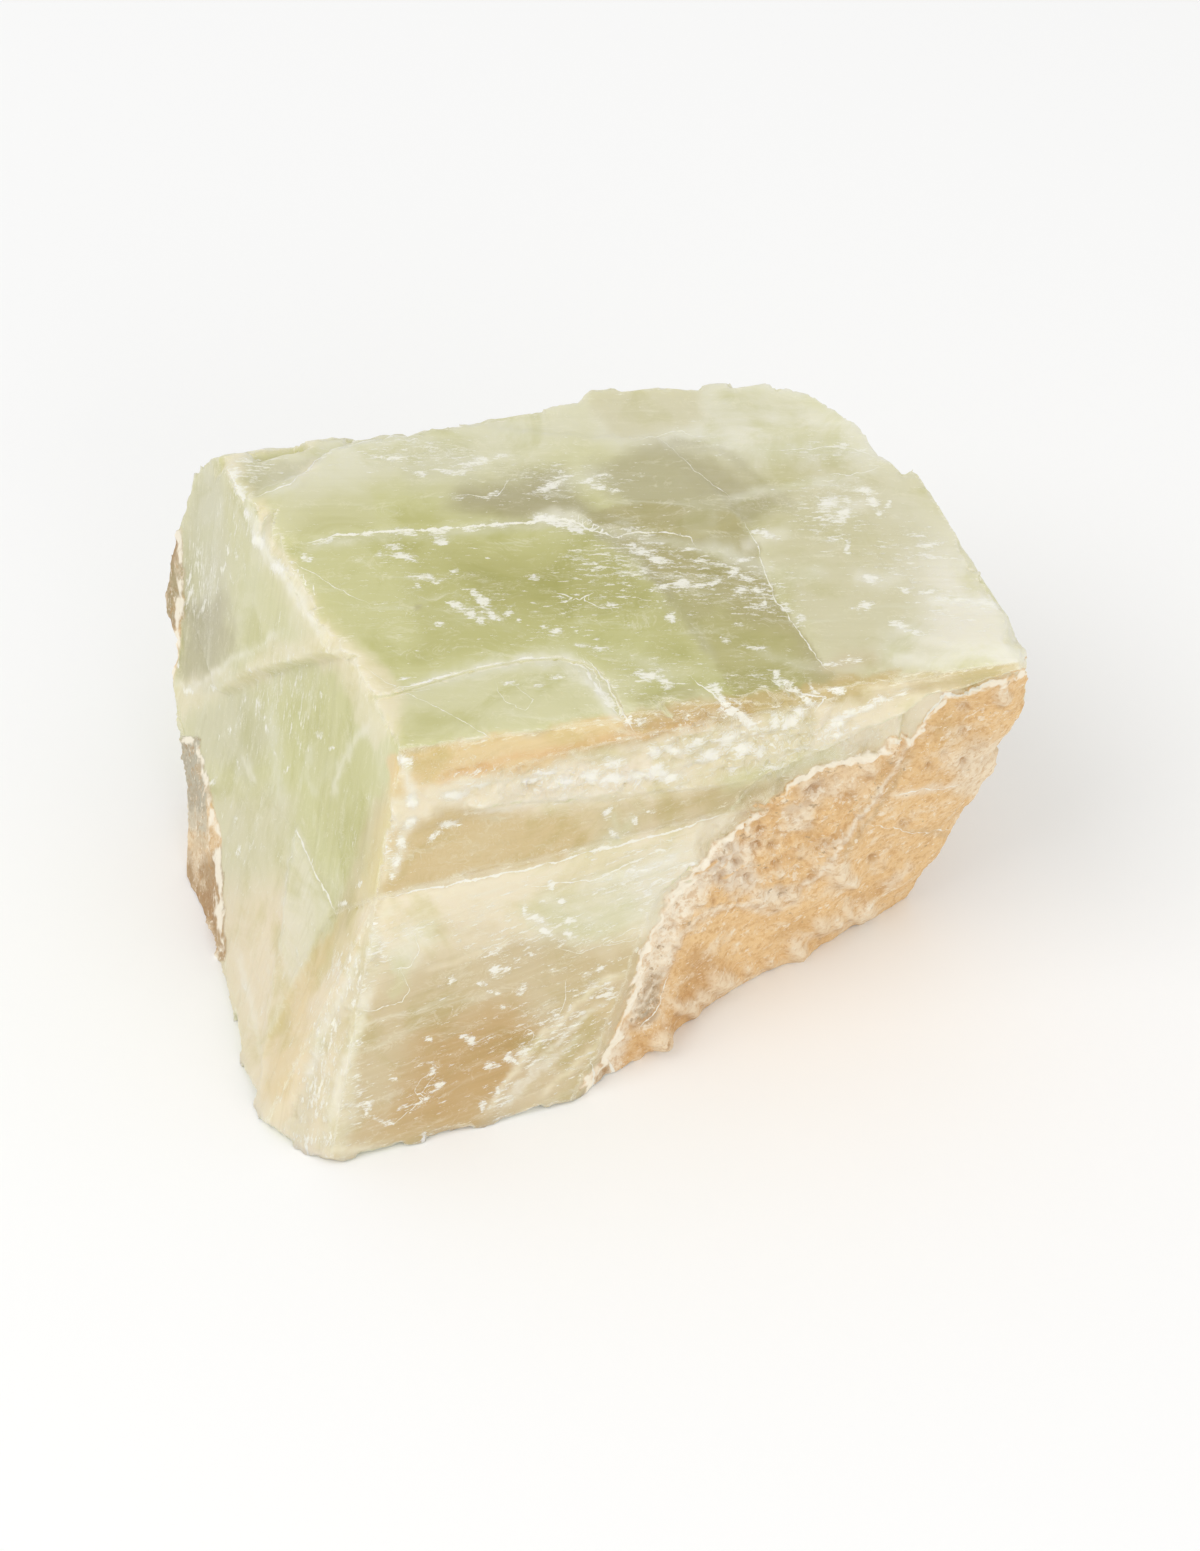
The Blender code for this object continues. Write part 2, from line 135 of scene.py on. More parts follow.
def mergedForm(node):
    form = bmesh.new()
    form.from_mesh(node.data)
    bmesh.ops.remove_doubles(form, verts=form.verts, dist=meshSetting["solidMergeGap"])
    form.normal_update()
    return form


def fillLedge(form):
    # brings the clear band under the crumbled edge out to just behind the lower step
    bottom, top = ledgeSetting["heights"]
    front, back = ledgeSetting["depths"]
    for corner in form.verts:
        x, y, z = corner.co * perMetre
        if not (bottom < z < top and front < y < back and x < ledgeSetting["rightEnd"]):
            continue
        share = min(1.0, (z - ledgeSetting["foot"]) / ledgeSetting["rise"])
        run = x - ledgeSetting["lineStart"]
        lip = ledgeSetting["lip"] + ledgeSetting["lipSlope"] * run + ledgeSetting["setBack"]
        brow = ledgeSetting["brow"] + ledgeSetting["browSlope"] * run + ledgeSetting["setBack"]
        wanted = lip + (brow - lip) * share
        if y > wanted:
            corner.co.y = wanted / perMetre
    form.normal_update()


def mend(bm):
    # takes out faces that share an edge or a point with too many others, and closes the gap
    for _ in range(meshSetting["mendPasses"]):
        torn = [corner for corner in bm.verts if not corner.is_manifold]
        if not torn:
            return
        bad = list({face for corner in torn for face in corner.link_faces})
        bmesh.ops.delete(bm, geom=bad, context="FACES")
        bmesh.ops.delete(bm, geom=[corner for corner in bm.verts if not corner.link_faces], context="VERTS")
        bmesh.ops.holes_fill(bm, edges=[edge for edge in bm.edges if len(edge.link_faces) == 1], sides=0)
        bmesh.ops.triangulate(bm, faces=[face for face in bm.faces if len(face.verts) > 3])
    print("points still torn:", sum(not corner.is_manifold for corner in bm.verts))


def pullBack(bm, form):
    # the remesh throws a few points off the solid at its sharpest corners
    tree = BVHTree.FromBMesh(form)
    for corner in bm.verts:
        spot, _, _, gap = tree.find_nearest(corner.co)
        if gap * perMetre > meshSetting["strayGap"]:
            corner.co = spot


def smoothed(bm, corners, passes):
    for _ in range(passes):
        bmesh.ops.smooth_vert(bm, verts=corners, factor=meshSetting["softening"], use_axis_x=True,
                              use_axis_y=True, use_axis_z=True)


def wearDown(bm):
    # rounds every keen edge a little and the oddest corners a lot
    keen = [corner for corner in bm.verts
            if any(edge.calc_face_angle(0) > meshSetting["keenBend"] for edge in corner.link_edges)]
    smoothed(bm, keen, meshSetting["keenPasses"])
    for x, y, z, reach in meshSetting["wornSpots"]:
        middle = Vector((x, y, z)) / perMetre
        near = [corner for corner in bm.verts if (corner.co - middle).length < reach / perMetre]
        smoothed(bm, near, meshSetting["wornPasses"])


def evenMesh(form, name):
    mesh = bpy.data.meshes.new(name)
    form.to_mesh(mesh)
    piece = bpy.data.objects.new(name, mesh)
    bpy.context.scene.collection.objects.link(piece)
    remesh = piece.modifiers.new("evenMesh", "REMESH")
    remesh.mode = "SHARP"
    remesh.octree_depth = meshSetting["octree"]
    remesh.scale = meshSetting["fill"]
    remesh.sharpness = meshSetting["sharpness"]
    graph = bpy.context.evaluated_depsgraph_get()
    fresh = bpy.data.meshes.new_from_object(piece.evaluated_get(graph))
    piece.modifiers.clear()
    piece.data = fresh
    fresh.name = name
    bm = bmesh.new()
    bm.from_mesh(fresh)
    bmesh.ops.remove_doubles(bm, verts=bm.verts, dist=meshSetting["mergeGap"])
    bm.normal_update()
    towards = cameraTurn().to_matrix().col[2]
    shown = {edge for face in bm.faces for edge in face.edges
             if face.normal.dot(towards) > meshSetting["fineFacing"]}
    bmesh.ops.subdivide_edges(bm, edges=list(shown), cuts=1, use_grid_fill=True)
    bmesh.ops.triangulate(bm, faces=bm.faces)
    pullBack(bm, form)
    mend(bm)
    wearDown(bm)
    bmesh.ops.recalc_face_normals(bm, faces=bm.faces)
    bm.to_mesh(fresh)
    bm.free()
    return piece


def rowsOf(items, name):
    flat = np.empty(len(items) * 3)
    items.foreach_get(name, flat)
    return flat.reshape(-1, 3)


def solidNormals(form, points):
    tree = BVHTree.FromBMesh(form)
    return np.array([tree.find_nearest(Vector(point))[1] for point in points])


def edgeGaps(form, points):
    # millimetres from each point to the nearest broken edge of the solid
    marks = []
    step = meshSetting["edgeStep"] / perMetre
    for edge in form.edges:
        if len(edge.link_faces) != 2 or edge.calc_face_angle(0) < math.radians(meshSetting["edgeAngle"]):
            continue
        start, end = (corner.co for corner in edge.verts)
        count = max(1, int(edge.calc_length() / step))
        marks.extend(start.lerp(end, index / count) for index in range(count + 1))
    tree = KDTree(len(marks))
    for index, mark in enumerate(marks):
        tree.insert(mark, index)
    tree.balance()
    return np.array([tree.find(Vector(point))[2] for point in points]) * perMetre


solidForm = mergedForm(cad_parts["raw_calcite"])
fillLedge(solidForm)
stone = evenMesh(solidForm, "calciteBlock")
atRest = rowsOf(stone.data.vertices, "co")
places = atRest * perMetre
faceNormals = solidNormals(solidForm, atRest)
edgeGap = edgeGaps(solidForm, atRest)
across, down = viewOf(atRest)
print("even mesh:", len(places), "points,", len(stone.data.polygons), "faces")


def ease(low, high, value):
    # rises smoothly from 0 at low to 1 at high
    share = np.clip((value - low) / (high - low), 0.0, 1.0)
    return share * share * (3 - 2 * share)


cloudSetting = {"steps": (17.3, 5.9, 11.1), "fade": 0.9, "finer": 2.0, "layers": 3}


def cloud(size, seed):
    # soft natural noise around 0 for every point, with patches about size millimetres wide
    shift = Vector([seed * step for step in cloudSetting["steps"]])
    rest = cloudSetting["fade"], cloudSetting["finer"], cloudSetting["layers"]
    return np.array([noise.fractal(Vector(place) / size + shift, *rest) for place in places])


def segmentGap(x, y, start, end):
    # distance from points to one straight stretch, the side they lie on, how far along it, and its length
    runX, runY = end[0] - start[0], end[1] - start[1]
    length = math.hypot(runX, runY)
    share = np.clip(((x - start[0]) * runX + (y - start[1]) * runY) / (length * length), 0, 1)
    offX, offY = x - start[0] - share * runX, y - start[1] - share * runY
    return np.hypot(offX, offY), np.sign(runX * offY - runY * offX), share * length, length


def lineGap(line, x, y):
    # signed distance to a line in the units of the view, and the share of it travelled from its start
    gap, side, along = np.full(len(x), 1e9), np.ones(len(x)), np.zeros(len(x))
    travelled = 0.0
    for start, end in zip(line, line[1:]):
        near, turn, run, length = segmentGap(x, y, start, end)
        closer = near < gap
        gap[closer], side[closer], along[closer] = near[closer], turn[closer], (travelled + run)[closer]
        travelled += length
    return gap * np.where(side == 0, 1, side), along / travelled


def outlineGap(outline, x, y):
    # signed distance to a closed outline in the units of the view, above 0 inside it
    gap = np.abs(lineGap(list(outline) + [outline[0]], x, y)[0])
    inside = np.zeros(len(x), bool)
    for (x0, y0), (x1, y1) in zip(outline, list(outline[1:]) + [outline[0]]):
        crosses = (y0 > y) != (y1 > y)
        if y0 != y1:
            inside ^= crosses & (x < (x1 - x0) * (y - y0) / (y1 - y0) + x0)
    return np.where(inside, gap, -gap)


# the faces of the block are told by how far they turn one way, and by place in millimetres
faceSetting = {
    "leftOut": (-0.9424, -0.1990, 0.2687),
    "steepRun": (-0.2066, -0.2548, -0.9446),  # down the left face along its cleavage
    "seen": (-0.02, 0.08),
    "flat": (0.80, 0.93),
    "left": (0.72, 0.86),
    "back": (0.45, 0.65),
    "right": (0.55, 0.75),
    "endPlace": (-38.5, -40.0),
    "endTurn": (0.5, 0.2),
    "topHeight": 40.0,
    "leftReach": -21.0,
}
leftOut = np.array(faceSetting["leftOut"])
facing = faceNormals @ np.array(cameraTurn().to_matrix().col[2])
seen = ease(*faceSetting["seen"], facing)
faces = {
    "top": ease(*faceSetting["flat"], faceNormals[:, 2]) * (places[:, 2] > faceSetting["topHeight"]),
    "bottom": ease(*faceSetting["flat"], -faceNormals[:, 2]),
    "left": ease(*faceSetting["left"], faceNormals @ leftOut) * (places[:, 0] < faceSetting["leftReach"]),
    "back": ease(*faceSetting["back"], faceNormals[:, 1]),
    "right": ease(*faceSetting["right"], faceNormals[:, 0]),
}
for side in ("top", "left"):
    faces[side] = faces[side] * seen
faces["front"] = seen * (1 - faces["top"]) * (1 - faces["left"])
faces["hidden"] = 1 - seen
faces["seen"] = seen
leftEnd = ease(*faceSetting["endPlace"], places[:, 0]) * ease(*faceSetting["endTurn"], faceNormals[:, 0])
faces["leftEnd"] = leftEnd * (1 - faces["top"])

# the upper part of the left face swells out towards the top edge
swellSetting = {
    "outline": ((150, 440), (300, 440), (330, 560), (366, 650), (330, 655), (262, 672), (230, 690),
                (166, 716)),
    "softness": 14,
    "corner": (-23.218, -22.157, 48.0),
    "skin": (-4.0, -0.8),  # millimetres behind the left face
    "fade": (188, 240),
    "lowest": 24.0,
    "reach": 1.5,
    "way": (-0.978, -0.207, 0.0),
}


def swollen():
    inside = outlineGap(swellSetting["outline"], across, down)
    behind = (places - np.array(swellSetting["corner"])) @ leftOut
    swell = ease(-swellSetting["softness"] / 2, swellSetting["softness"] / 2, inside)
    swell *= ease(*swellSetting["skin"], behind)
    swell *= ease(*swellSetting["fade"], across) * (places[:, 2] > swellSetting["lowest"])
    return atRest + (swellSetting["reach"] / perMetre) * swell[:, None] * np.array(swellSetting["way"])


atRest = swollen()
places = atRest * perMetre
across, down = viewOf(atRest)

# bends that keep drawn edges from looking ruled: sizes in millimetres, strengths in the view
bendSetting = {"wideSize": 9.0, "fineSize": 1.7, "wide": 9, "fine": 4}
bendWide = [cloud(bendSetting["wideSize"], seed) for seed in (1, 2)]
bendFine = [cloud(bendSetting["fineSize"], seed) for seed in (3, 4)]
bentAcross = across + bendSetting["wide"] * bendWide[0] + bendSetting["fine"] * bendFine[0]
bentDown = down + bendSetting["wide"] * bendWide[1] + bendSetting["fine"] * bendFine[1]


def wavered(strength):
    # the places in the view with a fine waver
    return across + strength * bendFine[0], down + strength * bendFine[1]


print("faces found")

# colours of the stone in daylight, from 0 to 255
stoneColours = {
    "milk": (226, 224, 204),
    "frost": (238, 235, 221),
    "paleGreen": (213, 211, 168),
    "spring": (203, 202, 143),
    "heart": (190, 188, 124),
    "deepHeart": (180, 177, 110),
    "olive": (179, 171, 121),
    "smoke": (173, 166, 128),
    "pistachio": (212, 207, 173),
    "mist": (205, 202, 170),
    "honey": (224, 202, 153),
    "amber": (199, 179, 127),
    "ochre": (196, 164, 110),
    "cream": (235, 225, 198),
    "blush": (231, 217, 188),
    "tan": (208, 192, 154),
    "sand": (234, 199, 147),
    # paleSand, wall, umber, foot and bark are the crust's own colours and also its painted light: paleSand
    # and wall as painted highlight on lumps, proud places and the terrace's edge; umber, foot and bark as
    # painted shade at the feet of lumps and of the terrace step and in hollows
    "paleSand": (240, 223, 194),
    "rust": (220, 181, 126),
    "wall": (244, 233, 212),
    "stoneGrey": (230, 218, 199),
    "bark": (178, 152, 118),
    "slate": (186, 182, 164),
    "flax": (210, 192, 156),
    "umber": (204, 160, 104),
    "foot": (174, 134, 90),
    "straw": (213, 192, 144),
    "shell": (220, 211, 182),
}

bevelOutline = (
    (376, 900), (366, 937), (341, 982), (313, 1033), (295, 1090), (280, 1128), (300, 1150), (346, 1160),
    (357, 1090), (354, 1064), (369, 1013), (382, 970),
)

# areas of colour: face, colour, strength, softness and outline, in the units of the camera's view
colourPatches = (
    ("seen", "cream", 0.9, 10, ((215, 452), (240, 452), (262, 500), (280, 545), (340, 630), (380, 690),
        (350, 700), (300, 640), (240, 540))),
    ("top", "milk", 0.6, 40, ((215, 440), (330, 420), (470, 408), (590, 375), (600, 430), (480, 470),
        (330, 495), (250, 496))),
    ("top", "mist", 0.9, 14, ((240, 466), (300, 464), (330, 458), (310, 470), (300, 482), (252, 496))),
    ("top", "heart", 0.35, 40, ((300, 505), (560, 470), (640, 520), (560, 545), (300, 545))),
    ("top", "deepHeart", 0.55, 26, ((500, 500), (560, 480), (600, 520), (530, 522), (480, 516))),
    ("top", "smoke", 0.9, 34, ((460, 486), (560, 470), (600, 520), (500, 520), (450, 512))),
    ("top", "spring", 0.8, 30, ((275, 540), (560, 522), (600, 700), (400, 690), (320, 640))),
    ("top", "heart", 0.9, 36, ((400, 548), (600, 535), (660, 590), (700, 660), (640, 680), (560, 650),
        (420, 660))),
    ("top", "deepHeart", 0.8, 30, ((450, 560), (620, 560), (650, 600), (560, 620), (480, 610))),
    ("top", "pistachio", 0.9, 60, ((760, 440), (1040, 440), (1040, 700), (830, 690), (744, 523), (690, 470))),
    ("top", "milk", 0.85, 26, ((590, 370), (780, 370), (900, 440), (870, 470), (700, 455), (600, 440))),
    ("top", "pistachio", 0.8, 16, ((588, 378), (700, 374), (700, 420), (660, 436), (612, 430))),
    ("top", "smoke", 0.7, 26, ((590, 470), (660, 437), (740, 470), (790, 500), (744, 523), (640, 530))),
    ("top", "olive", 0.95, 6, ((581, 517), (637, 560), (667, 603), (689, 624), (713, 664), (731, 700),
        (860, 700), (829, 672), (774, 597), (756, 538), (735, 515), (640, 500))),
    ("top", "heart", 0.5, 40, ((660, 600), (790, 640), (810, 690), (700, 690))),
    ("top", "frost", 0.85, 60, ((915, 560), (960, 540), (1040, 640), (1030, 720), (930, 640))),
    ("top", "milk", 0.5, 40, ((880, 450), (960, 530), (1000, 600), (930, 560), (880, 500))),
    ("top", "paleGreen", 0.9, 8, ((395, 691), (468, 670), (527, 659), (553, 657), (582, 668), (600, 691),
        (622, 720), (560, 750), (395, 770))),
    ("top", "milk", 0.5, 12, ((470, 668), (527, 657), (553, 655), (582, 666), (600, 690), (590, 690),
        (560, 672), (520, 672))),
    ("top", "heart", 0.35, 14, ((612, 690), (700, 680), (720, 700), (640, 720))),
    ("top", "cream", 0.85, 10, ((227, 462), (250, 496), (262, 538), (280, 562), (310, 600), (330, 640),
        (395, 745), (360, 740), (300, 640), (230, 500))),
    ("top", "cream", 0.7, 16, ((330, 640), (372, 655), (410, 700), (400, 740), (380, 740))),
    ("left", "mist", 0.9, 30, ((180, 440), (240, 440), (270, 520), (240, 620), (170, 620))),
    ("left", "mist", 0.6, 24, ((196, 560), (222, 540), (236, 620), (200, 640))),
    ("left", "smoke", 0.75, 24, ((185, 606), (222, 596), (232, 640), (204, 690), (180, 680))),
    ("left", "paleGreen", 0.8, 40, ((225, 480), (300, 600), (330, 650), (240, 650))),
    ("left", "spring", 0.3, 24, ((226, 500), (262, 560), (300, 640), (270, 650), (236, 580))),
    ("left", "cream", 0.55, 20, ((166, 690), (230, 664), (290, 640), (330, 622), (330, 650), (260, 680),
        (180, 716))),
    ("left", "spring", 0.85, 44, ((240, 700), (345, 660), (385, 760), (385, 890), (310, 860), (270, 820))),
    ("left", "heart", 0.35, 44, ((300, 730), (350, 730), (370, 860), (320, 840))),
    ("left", "mist", 0.7, 30, ((190, 712), (250, 690), (280, 730), (250, 780), (200, 760))),
    ("left", "pistachio", 0.8, 50, ((200, 790), (290, 800), (285, 900), (225, 960))),
    ("left", "blush", 0.9, 70, ((210, 900), (300, 880), (330, 1000), (330, 1180), (220, 1180))),
    ("left", "milk", 0.5, 8, ((298, 829), (311, 860), (332, 902), (330, 935), (301, 984), (283, 940),
        (287, 881))),
    ("left", "honey", 0.55, 14, ((394, 778), (356, 880), (318, 950), (300, 1019), (266, 1090), (284, 1100),
        (330, 1000), (384, 895), (404, 800))),
    ("left", "honey", 0.4, 8, ((324, 931), (301, 984), (271, 1043), (258, 1101), (268, 1101), (290, 1040),
        (320, 985), (336, 935))),
    ("left", "cream", 0.5, 12, ((325, 640), (360, 660), (392, 730), (372, 745), (345, 700))),
    ("front", "tan", 1.0, 10, ((360, 740), (1030, 640), (1030, 1180), (300, 1180))),
    ("seen", "honey", 0.95, 7, ((386, 755), (569, 725), (640, 711), (600, 740), (520, 775), (400, 812))),
    ("front", "rust", 0.35, 12, ((434, 780), (520, 756), (564, 744), (629, 724), (660, 722), (600, 742),
        (520, 766), (440, 792))),
    ("seen", "amber", 0.9, 7, ((620, 714), (720, 700), (800, 682), (905, 667), (880, 700), (760, 718),
        (640, 745))),
    ("front", "cream", 0.95, 14, ((395, 795), (520, 770), (640, 742), (760, 715), (900, 690), (960, 690),
        (900, 745), (720, 790), (600, 806), (440, 812), (395, 880), (384, 880))),
    ("front", "straw", 0.95, 12, ((398, 832), (450, 812), (560, 810), (600, 806), (600, 852), (510, 872),
        (390, 892))),
    ("front", "blush", 0.55, 12, ((560, 806), (720, 786), (700, 812), (600, 850))),
    ("front", "cream", 0.95, 14, ((385, 896), (522, 868), (593, 850), (667, 830), (740, 808), (700, 860),
        (660, 930), (610, 960), (560, 930), (480, 950), (370, 1000))),
    ("front", "milk", 0.6, 30, ((540, 900), (680, 850), (660, 920), (600, 940), (540, 940))),
    ("front", "tan", 0.9, 40, ((380, 970), (520, 936), (640, 946), (640, 1020), (560, 1100), (330, 1170))),
    ("front", "ochre", 0.95, 60, ((420, 1030), (510, 1000), (540, 1030), (520, 1090), (450, 1135),
        (390, 1120))),
    ("front", "ochre", 0.8, 26, ((470, 1046), (512, 1030), (512, 1080), (476, 1100))),
    ("front", "amber", 0.35, 40, ((560, 944), (640, 944), (630, 1000), (560, 1018))),
    ("front", "flax", 0.75, 10, ((482, 1120), (510, 1077), (535, 1044), (556, 1023), (594, 988), (632, 970),
        (619, 1023), (589, 1072), (561, 1090), (535, 1110))),
    ("left", "blush", 0.9, 14, ((372, 900), (390, 890), (380, 1000), (350, 1180), (250, 1180), (290, 1080),
        (320, 1000))),
    ("seen", "shell", 0.9, 12, bevelOutline),
    ("seen", "heart", 0.55, 8, ((636, 690), (700, 682), (704, 696), (640, 704))),
    ("seen", "milk", 0.9, 6, ((985, 590), (1040, 600), (1040, 668), (1012, 662), (1000, 640))),
    ("top", "smoke", 0.8, 5, ((415, 601), (421, 601), (421, 607), (415, 607))),
    ("front", "cream", 0.5, 10, ((1008, 660), (1040, 660), (1032, 690), (1016, 730), (1006, 730),
        (1018, 690))),
    ("seen", "ochre", 0.35, 20, ((360, 1112), (470, 1106), (500, 1124), (440, 1150), (360, 1160))),
)

# where the crust shows, its thick upper layer, the pale wall of that layer, and the pits in it
crustOutline = (
    (912, 736), (892, 733), (874, 751), (833, 760), (798, 775), (780, 792), (745, 819), (718, 842),
    (698, 866), (668, 895), (654, 925), (639, 954), (624, 1007), (618, 1025), (598, 1063), (586, 1072),
    (580, 1104), (560, 1200), (1200, 1200), (1200, 640), (1021, 672), (1015, 676), (992, 678), (959, 692),
    (942, 692), (930, 710), (921, 725),
)
terraceOutline = (
    (912, 736), (892, 733), (874, 751), (833, 760), (798, 775), (780, 792), (745, 819), (718, 842),
    (698, 866), (668, 895), (654, 925), (639, 954), (624, 1007), (633, 1028), (659, 1004), (662, 981),
    (671, 963), (680, 936), (695, 925), (706, 913), (745, 904), (768, 904), (792, 895), (804, 884),
    (815, 878), (830, 863), (845, 836), (868, 807), (889, 778), (906, 748),
)
wallOutline = (
    (668, 895), (654, 925), (639, 954), (624, 1007), (620, 1030), (640, 1028), (659, 1000), (671, 963),
    (684, 930), (700, 905), (716, 880), (745, 850), (718, 842), (698, 866),
)
lowerWall = (
    (618, 1025), (598, 1063), (586, 1072), (580, 1104), (604, 1096), (616, 1070), (634, 1040),
)
greyPits = (
    (650, 976), (634, 1004), (632, 1026), (646, 1020), (662, 990), (662, 976),
)
brownPit = (
    (600, 1064), (594, 1084), (602, 1090), (610, 1070),
)

# brown rock that still clings to the far left end
hostRock = (
    ((150, 520), (182, 530), (186, 600), (180, 652), (170, 700), (150, 700)),
    ((150, 738), (200, 738), (212, 800), (222, 840), (226, 960), (150, 960)),
)

# areas of colour on the crust and the clinging rock
crustPatches = (
    ("leftEnd", "bark", 1.0, 8, ((140, 500), (184, 520), (188, 610), (178, 640), (140, 660))),
    ("leftEnd", "paleSand", 0.7, 8, ((140, 640), (190, 640), (190, 720), (140, 720))),
    ("leftEnd", "slate", 0.95, 10, ((140, 720), (206, 730), (214, 800), (206, 830), (140, 830))),
    ("leftEnd", "bark", 0.9, 10, ((140, 850), (230, 850), (236, 980), (140, 980))),
    ("leftEnd", "paleSand", 0.4, 8, ((170, 812), (224, 812), (226, 858), (180, 862))),
    ("front", "sand", 1.0, 8, terraceOutline),
    ("front", "wall", 0.95, 14, wallOutline),
    ("front", "wall", 0.9, 8, lowerWall),
    ("front", "stoneGrey", 0.8, 12, ((721, 842), (756, 842), (760, 880), (735, 895), (705, 880))),
    ("front", "stoneGrey", 0.7, 8, ((752, 888), (780, 884), (800, 880), (796, 896), (760, 906))),
    ("front", "frost", 0.5, 10, ((786, 807), (815, 803), (818, 828), (790, 832))),
    ("front", "stoneGrey", 0.6, 8, ((800, 784), (836, 780), (836, 796), (806, 798))),
    ("front", "paleSand", 0.5, 30, ((800, 770), (880, 750), (860, 800), (800, 800))),
    ("front", "rust", 0.7, 14, ((770, 936), (786, 920), (850, 905), (850, 926), (790, 948))),
    ("front", "umber", 0.7, 24, ((690, 950), (730, 965), (700, 1010), (650, 1050), (600, 1090), (660, 1010))),
    ("front", "rust", 0.45, 20, ((940, 700), (990, 700), (960, 800), (910, 790), (912, 750))),
    ("front", "paleSand", 0.9, 16, ((1030, 716), (1004, 770), (980, 800), (948, 792), (954, 750),
        (985, 738))),
    ("front", "bark", 0.75, 7, greyPits),
    ("front", "bark", 0.85, 6, brownPit),
)


clearShade = (0.976, 0.963, 0.950)  # a slight warm shade over all of the clear stone


def linear(colour):
    shares = np.array(colour, float) / 255
    return np.where(shares <= 0.04045, shares / 12.92, ((shares + 0.055) / 1.055) ** 2.4)


def layOver(tint, colour, share):
    # lays one of the stone's colours over the tint, as strongly as share says at each point
    tint += (linear(stoneColours[colour]) - tint) * share[:, None]


def painted(tint, patches):
    for face, colour, strength, softness, outline in patches:
        depth = outlineGap(outline, bentAcross, bentDown)
        layOver(tint, colour, strength * faces[face] * ease(-softness / 2, softness / 2, depth))
    return tint


# soft patches on the sides turned away: colour, strength, where they start and are full, size, seed
hiddenVeils = (("milk", 0.8, -0.2, 0.5, 14.0, 5), ("honey", 0.5, 0.2, 0.9, 13.0, 6))

# where the crust lies on the sides turned away, in millimetres
crustSetting = {
    "perView": 0.1,  # millimetres for one unit of the view
    "outside": -9.0,
    "inside": 9.0,
    "endHeight": 12.0,
    "endRise": 12.0,
    "endRun": (16, 29),
    "endSwell": 6.5,
    "endStart": 20.0,
    "underStart": 4.0,
    "underSwell": 9.0,
    "backStart": 14.0,
    "backSwell": 8.0,
    "swellSize": 11.0,
    "footShade": 0.7,
    "edgeWidth": 0.15,
}


def crustDepth():
    # millimetres inside the crust, below 0 outside it
    outside = crustSetting["outside"]
    visible = outlineGap(crustOutline, *wavered(5)) * crustSetting["perView"]
    visible = np.where((faces["top"] > 0.5) | (faces["left"] > 0.5), outside, visible)
    swell = cloud(crustSetting["swellSize"], 7)
    right = places[:, 0]
    onEnd = crustSetting["endHeight"] + crustSetting["endRise"] * ease(*crustSetting["endRun"], right)
    onEnd = onEnd + crustSetting["endSwell"] * swell - places[:, 2]
    under = right - crustSetting["underStart"] + crustSetting["underSwell"] * swell
    behind = np.minimum(right - crustSetting["backStart"] + crustSetting["backSwell"] * swell, onEnd)
    onEnd = np.where(right > crustSetting["endStart"], onEnd, outside)
    unseen = np.where(faces["back"] > 0.5, behind, np.where(faces["bottom"] > 0.5, under, onEnd))
    unseen = np.where((faces["left"] > 0.3) & (right < 0), outside, unseen)
    stepSide = (faceNormals[:, 1] < -0.1) & (visible > 0.3) & (faces["bottom"] < 0.5)
    depth = np.where((seen > 0.5) | stepSide, visible, np.clip(unseen, outside, crustSetting["inside"]))
    onLeft = np.full(len(places), outside)
    for outline in hostRock:
        onLeft = np.maximum(onLeft, outlineGap(outline, *wavered(3)) * crustSetting["perView"])
    return np.maximum(depth, np.where(faces["leftEnd"] > 0.5, onLeft, outside))


crust = crustDepth()
onCrust = ease(-crustSetting["edgeWidth"], crustSetting["edgeWidth"], crust)
tint = np.tile(linear(stoneColours["paleGreen"]), (len(places), 1))
for colour, strength, start, full, size, seed in hiddenVeils:
    layOver(tint, colour, strength * (faces["hidden"] * ease(start, full, cloud(size, seed))))
tint = painted(tint, colourPatches) * clearShade
crustTint = painted(np.tile(linear(stoneColours["sand"]), (len(places), 1)), crustPatches)
terraceGap = outlineGap(terraceOutline, *wavered(3))
# painted shadow: umber laid in a band just outside the terrace's edge, at the foot of its step
terraceFootShadow = ease(-6, -2, terraceGap) * ease(1, -1, terraceGap) * faces["front"] * ease(0.6, 1.2, crust)
layOver(crustTint, "umber", crustSetting["footShade"] * terraceFootShadow)
tint += (crustTint - tint) * onCrust[:, None]
print("colours laid")

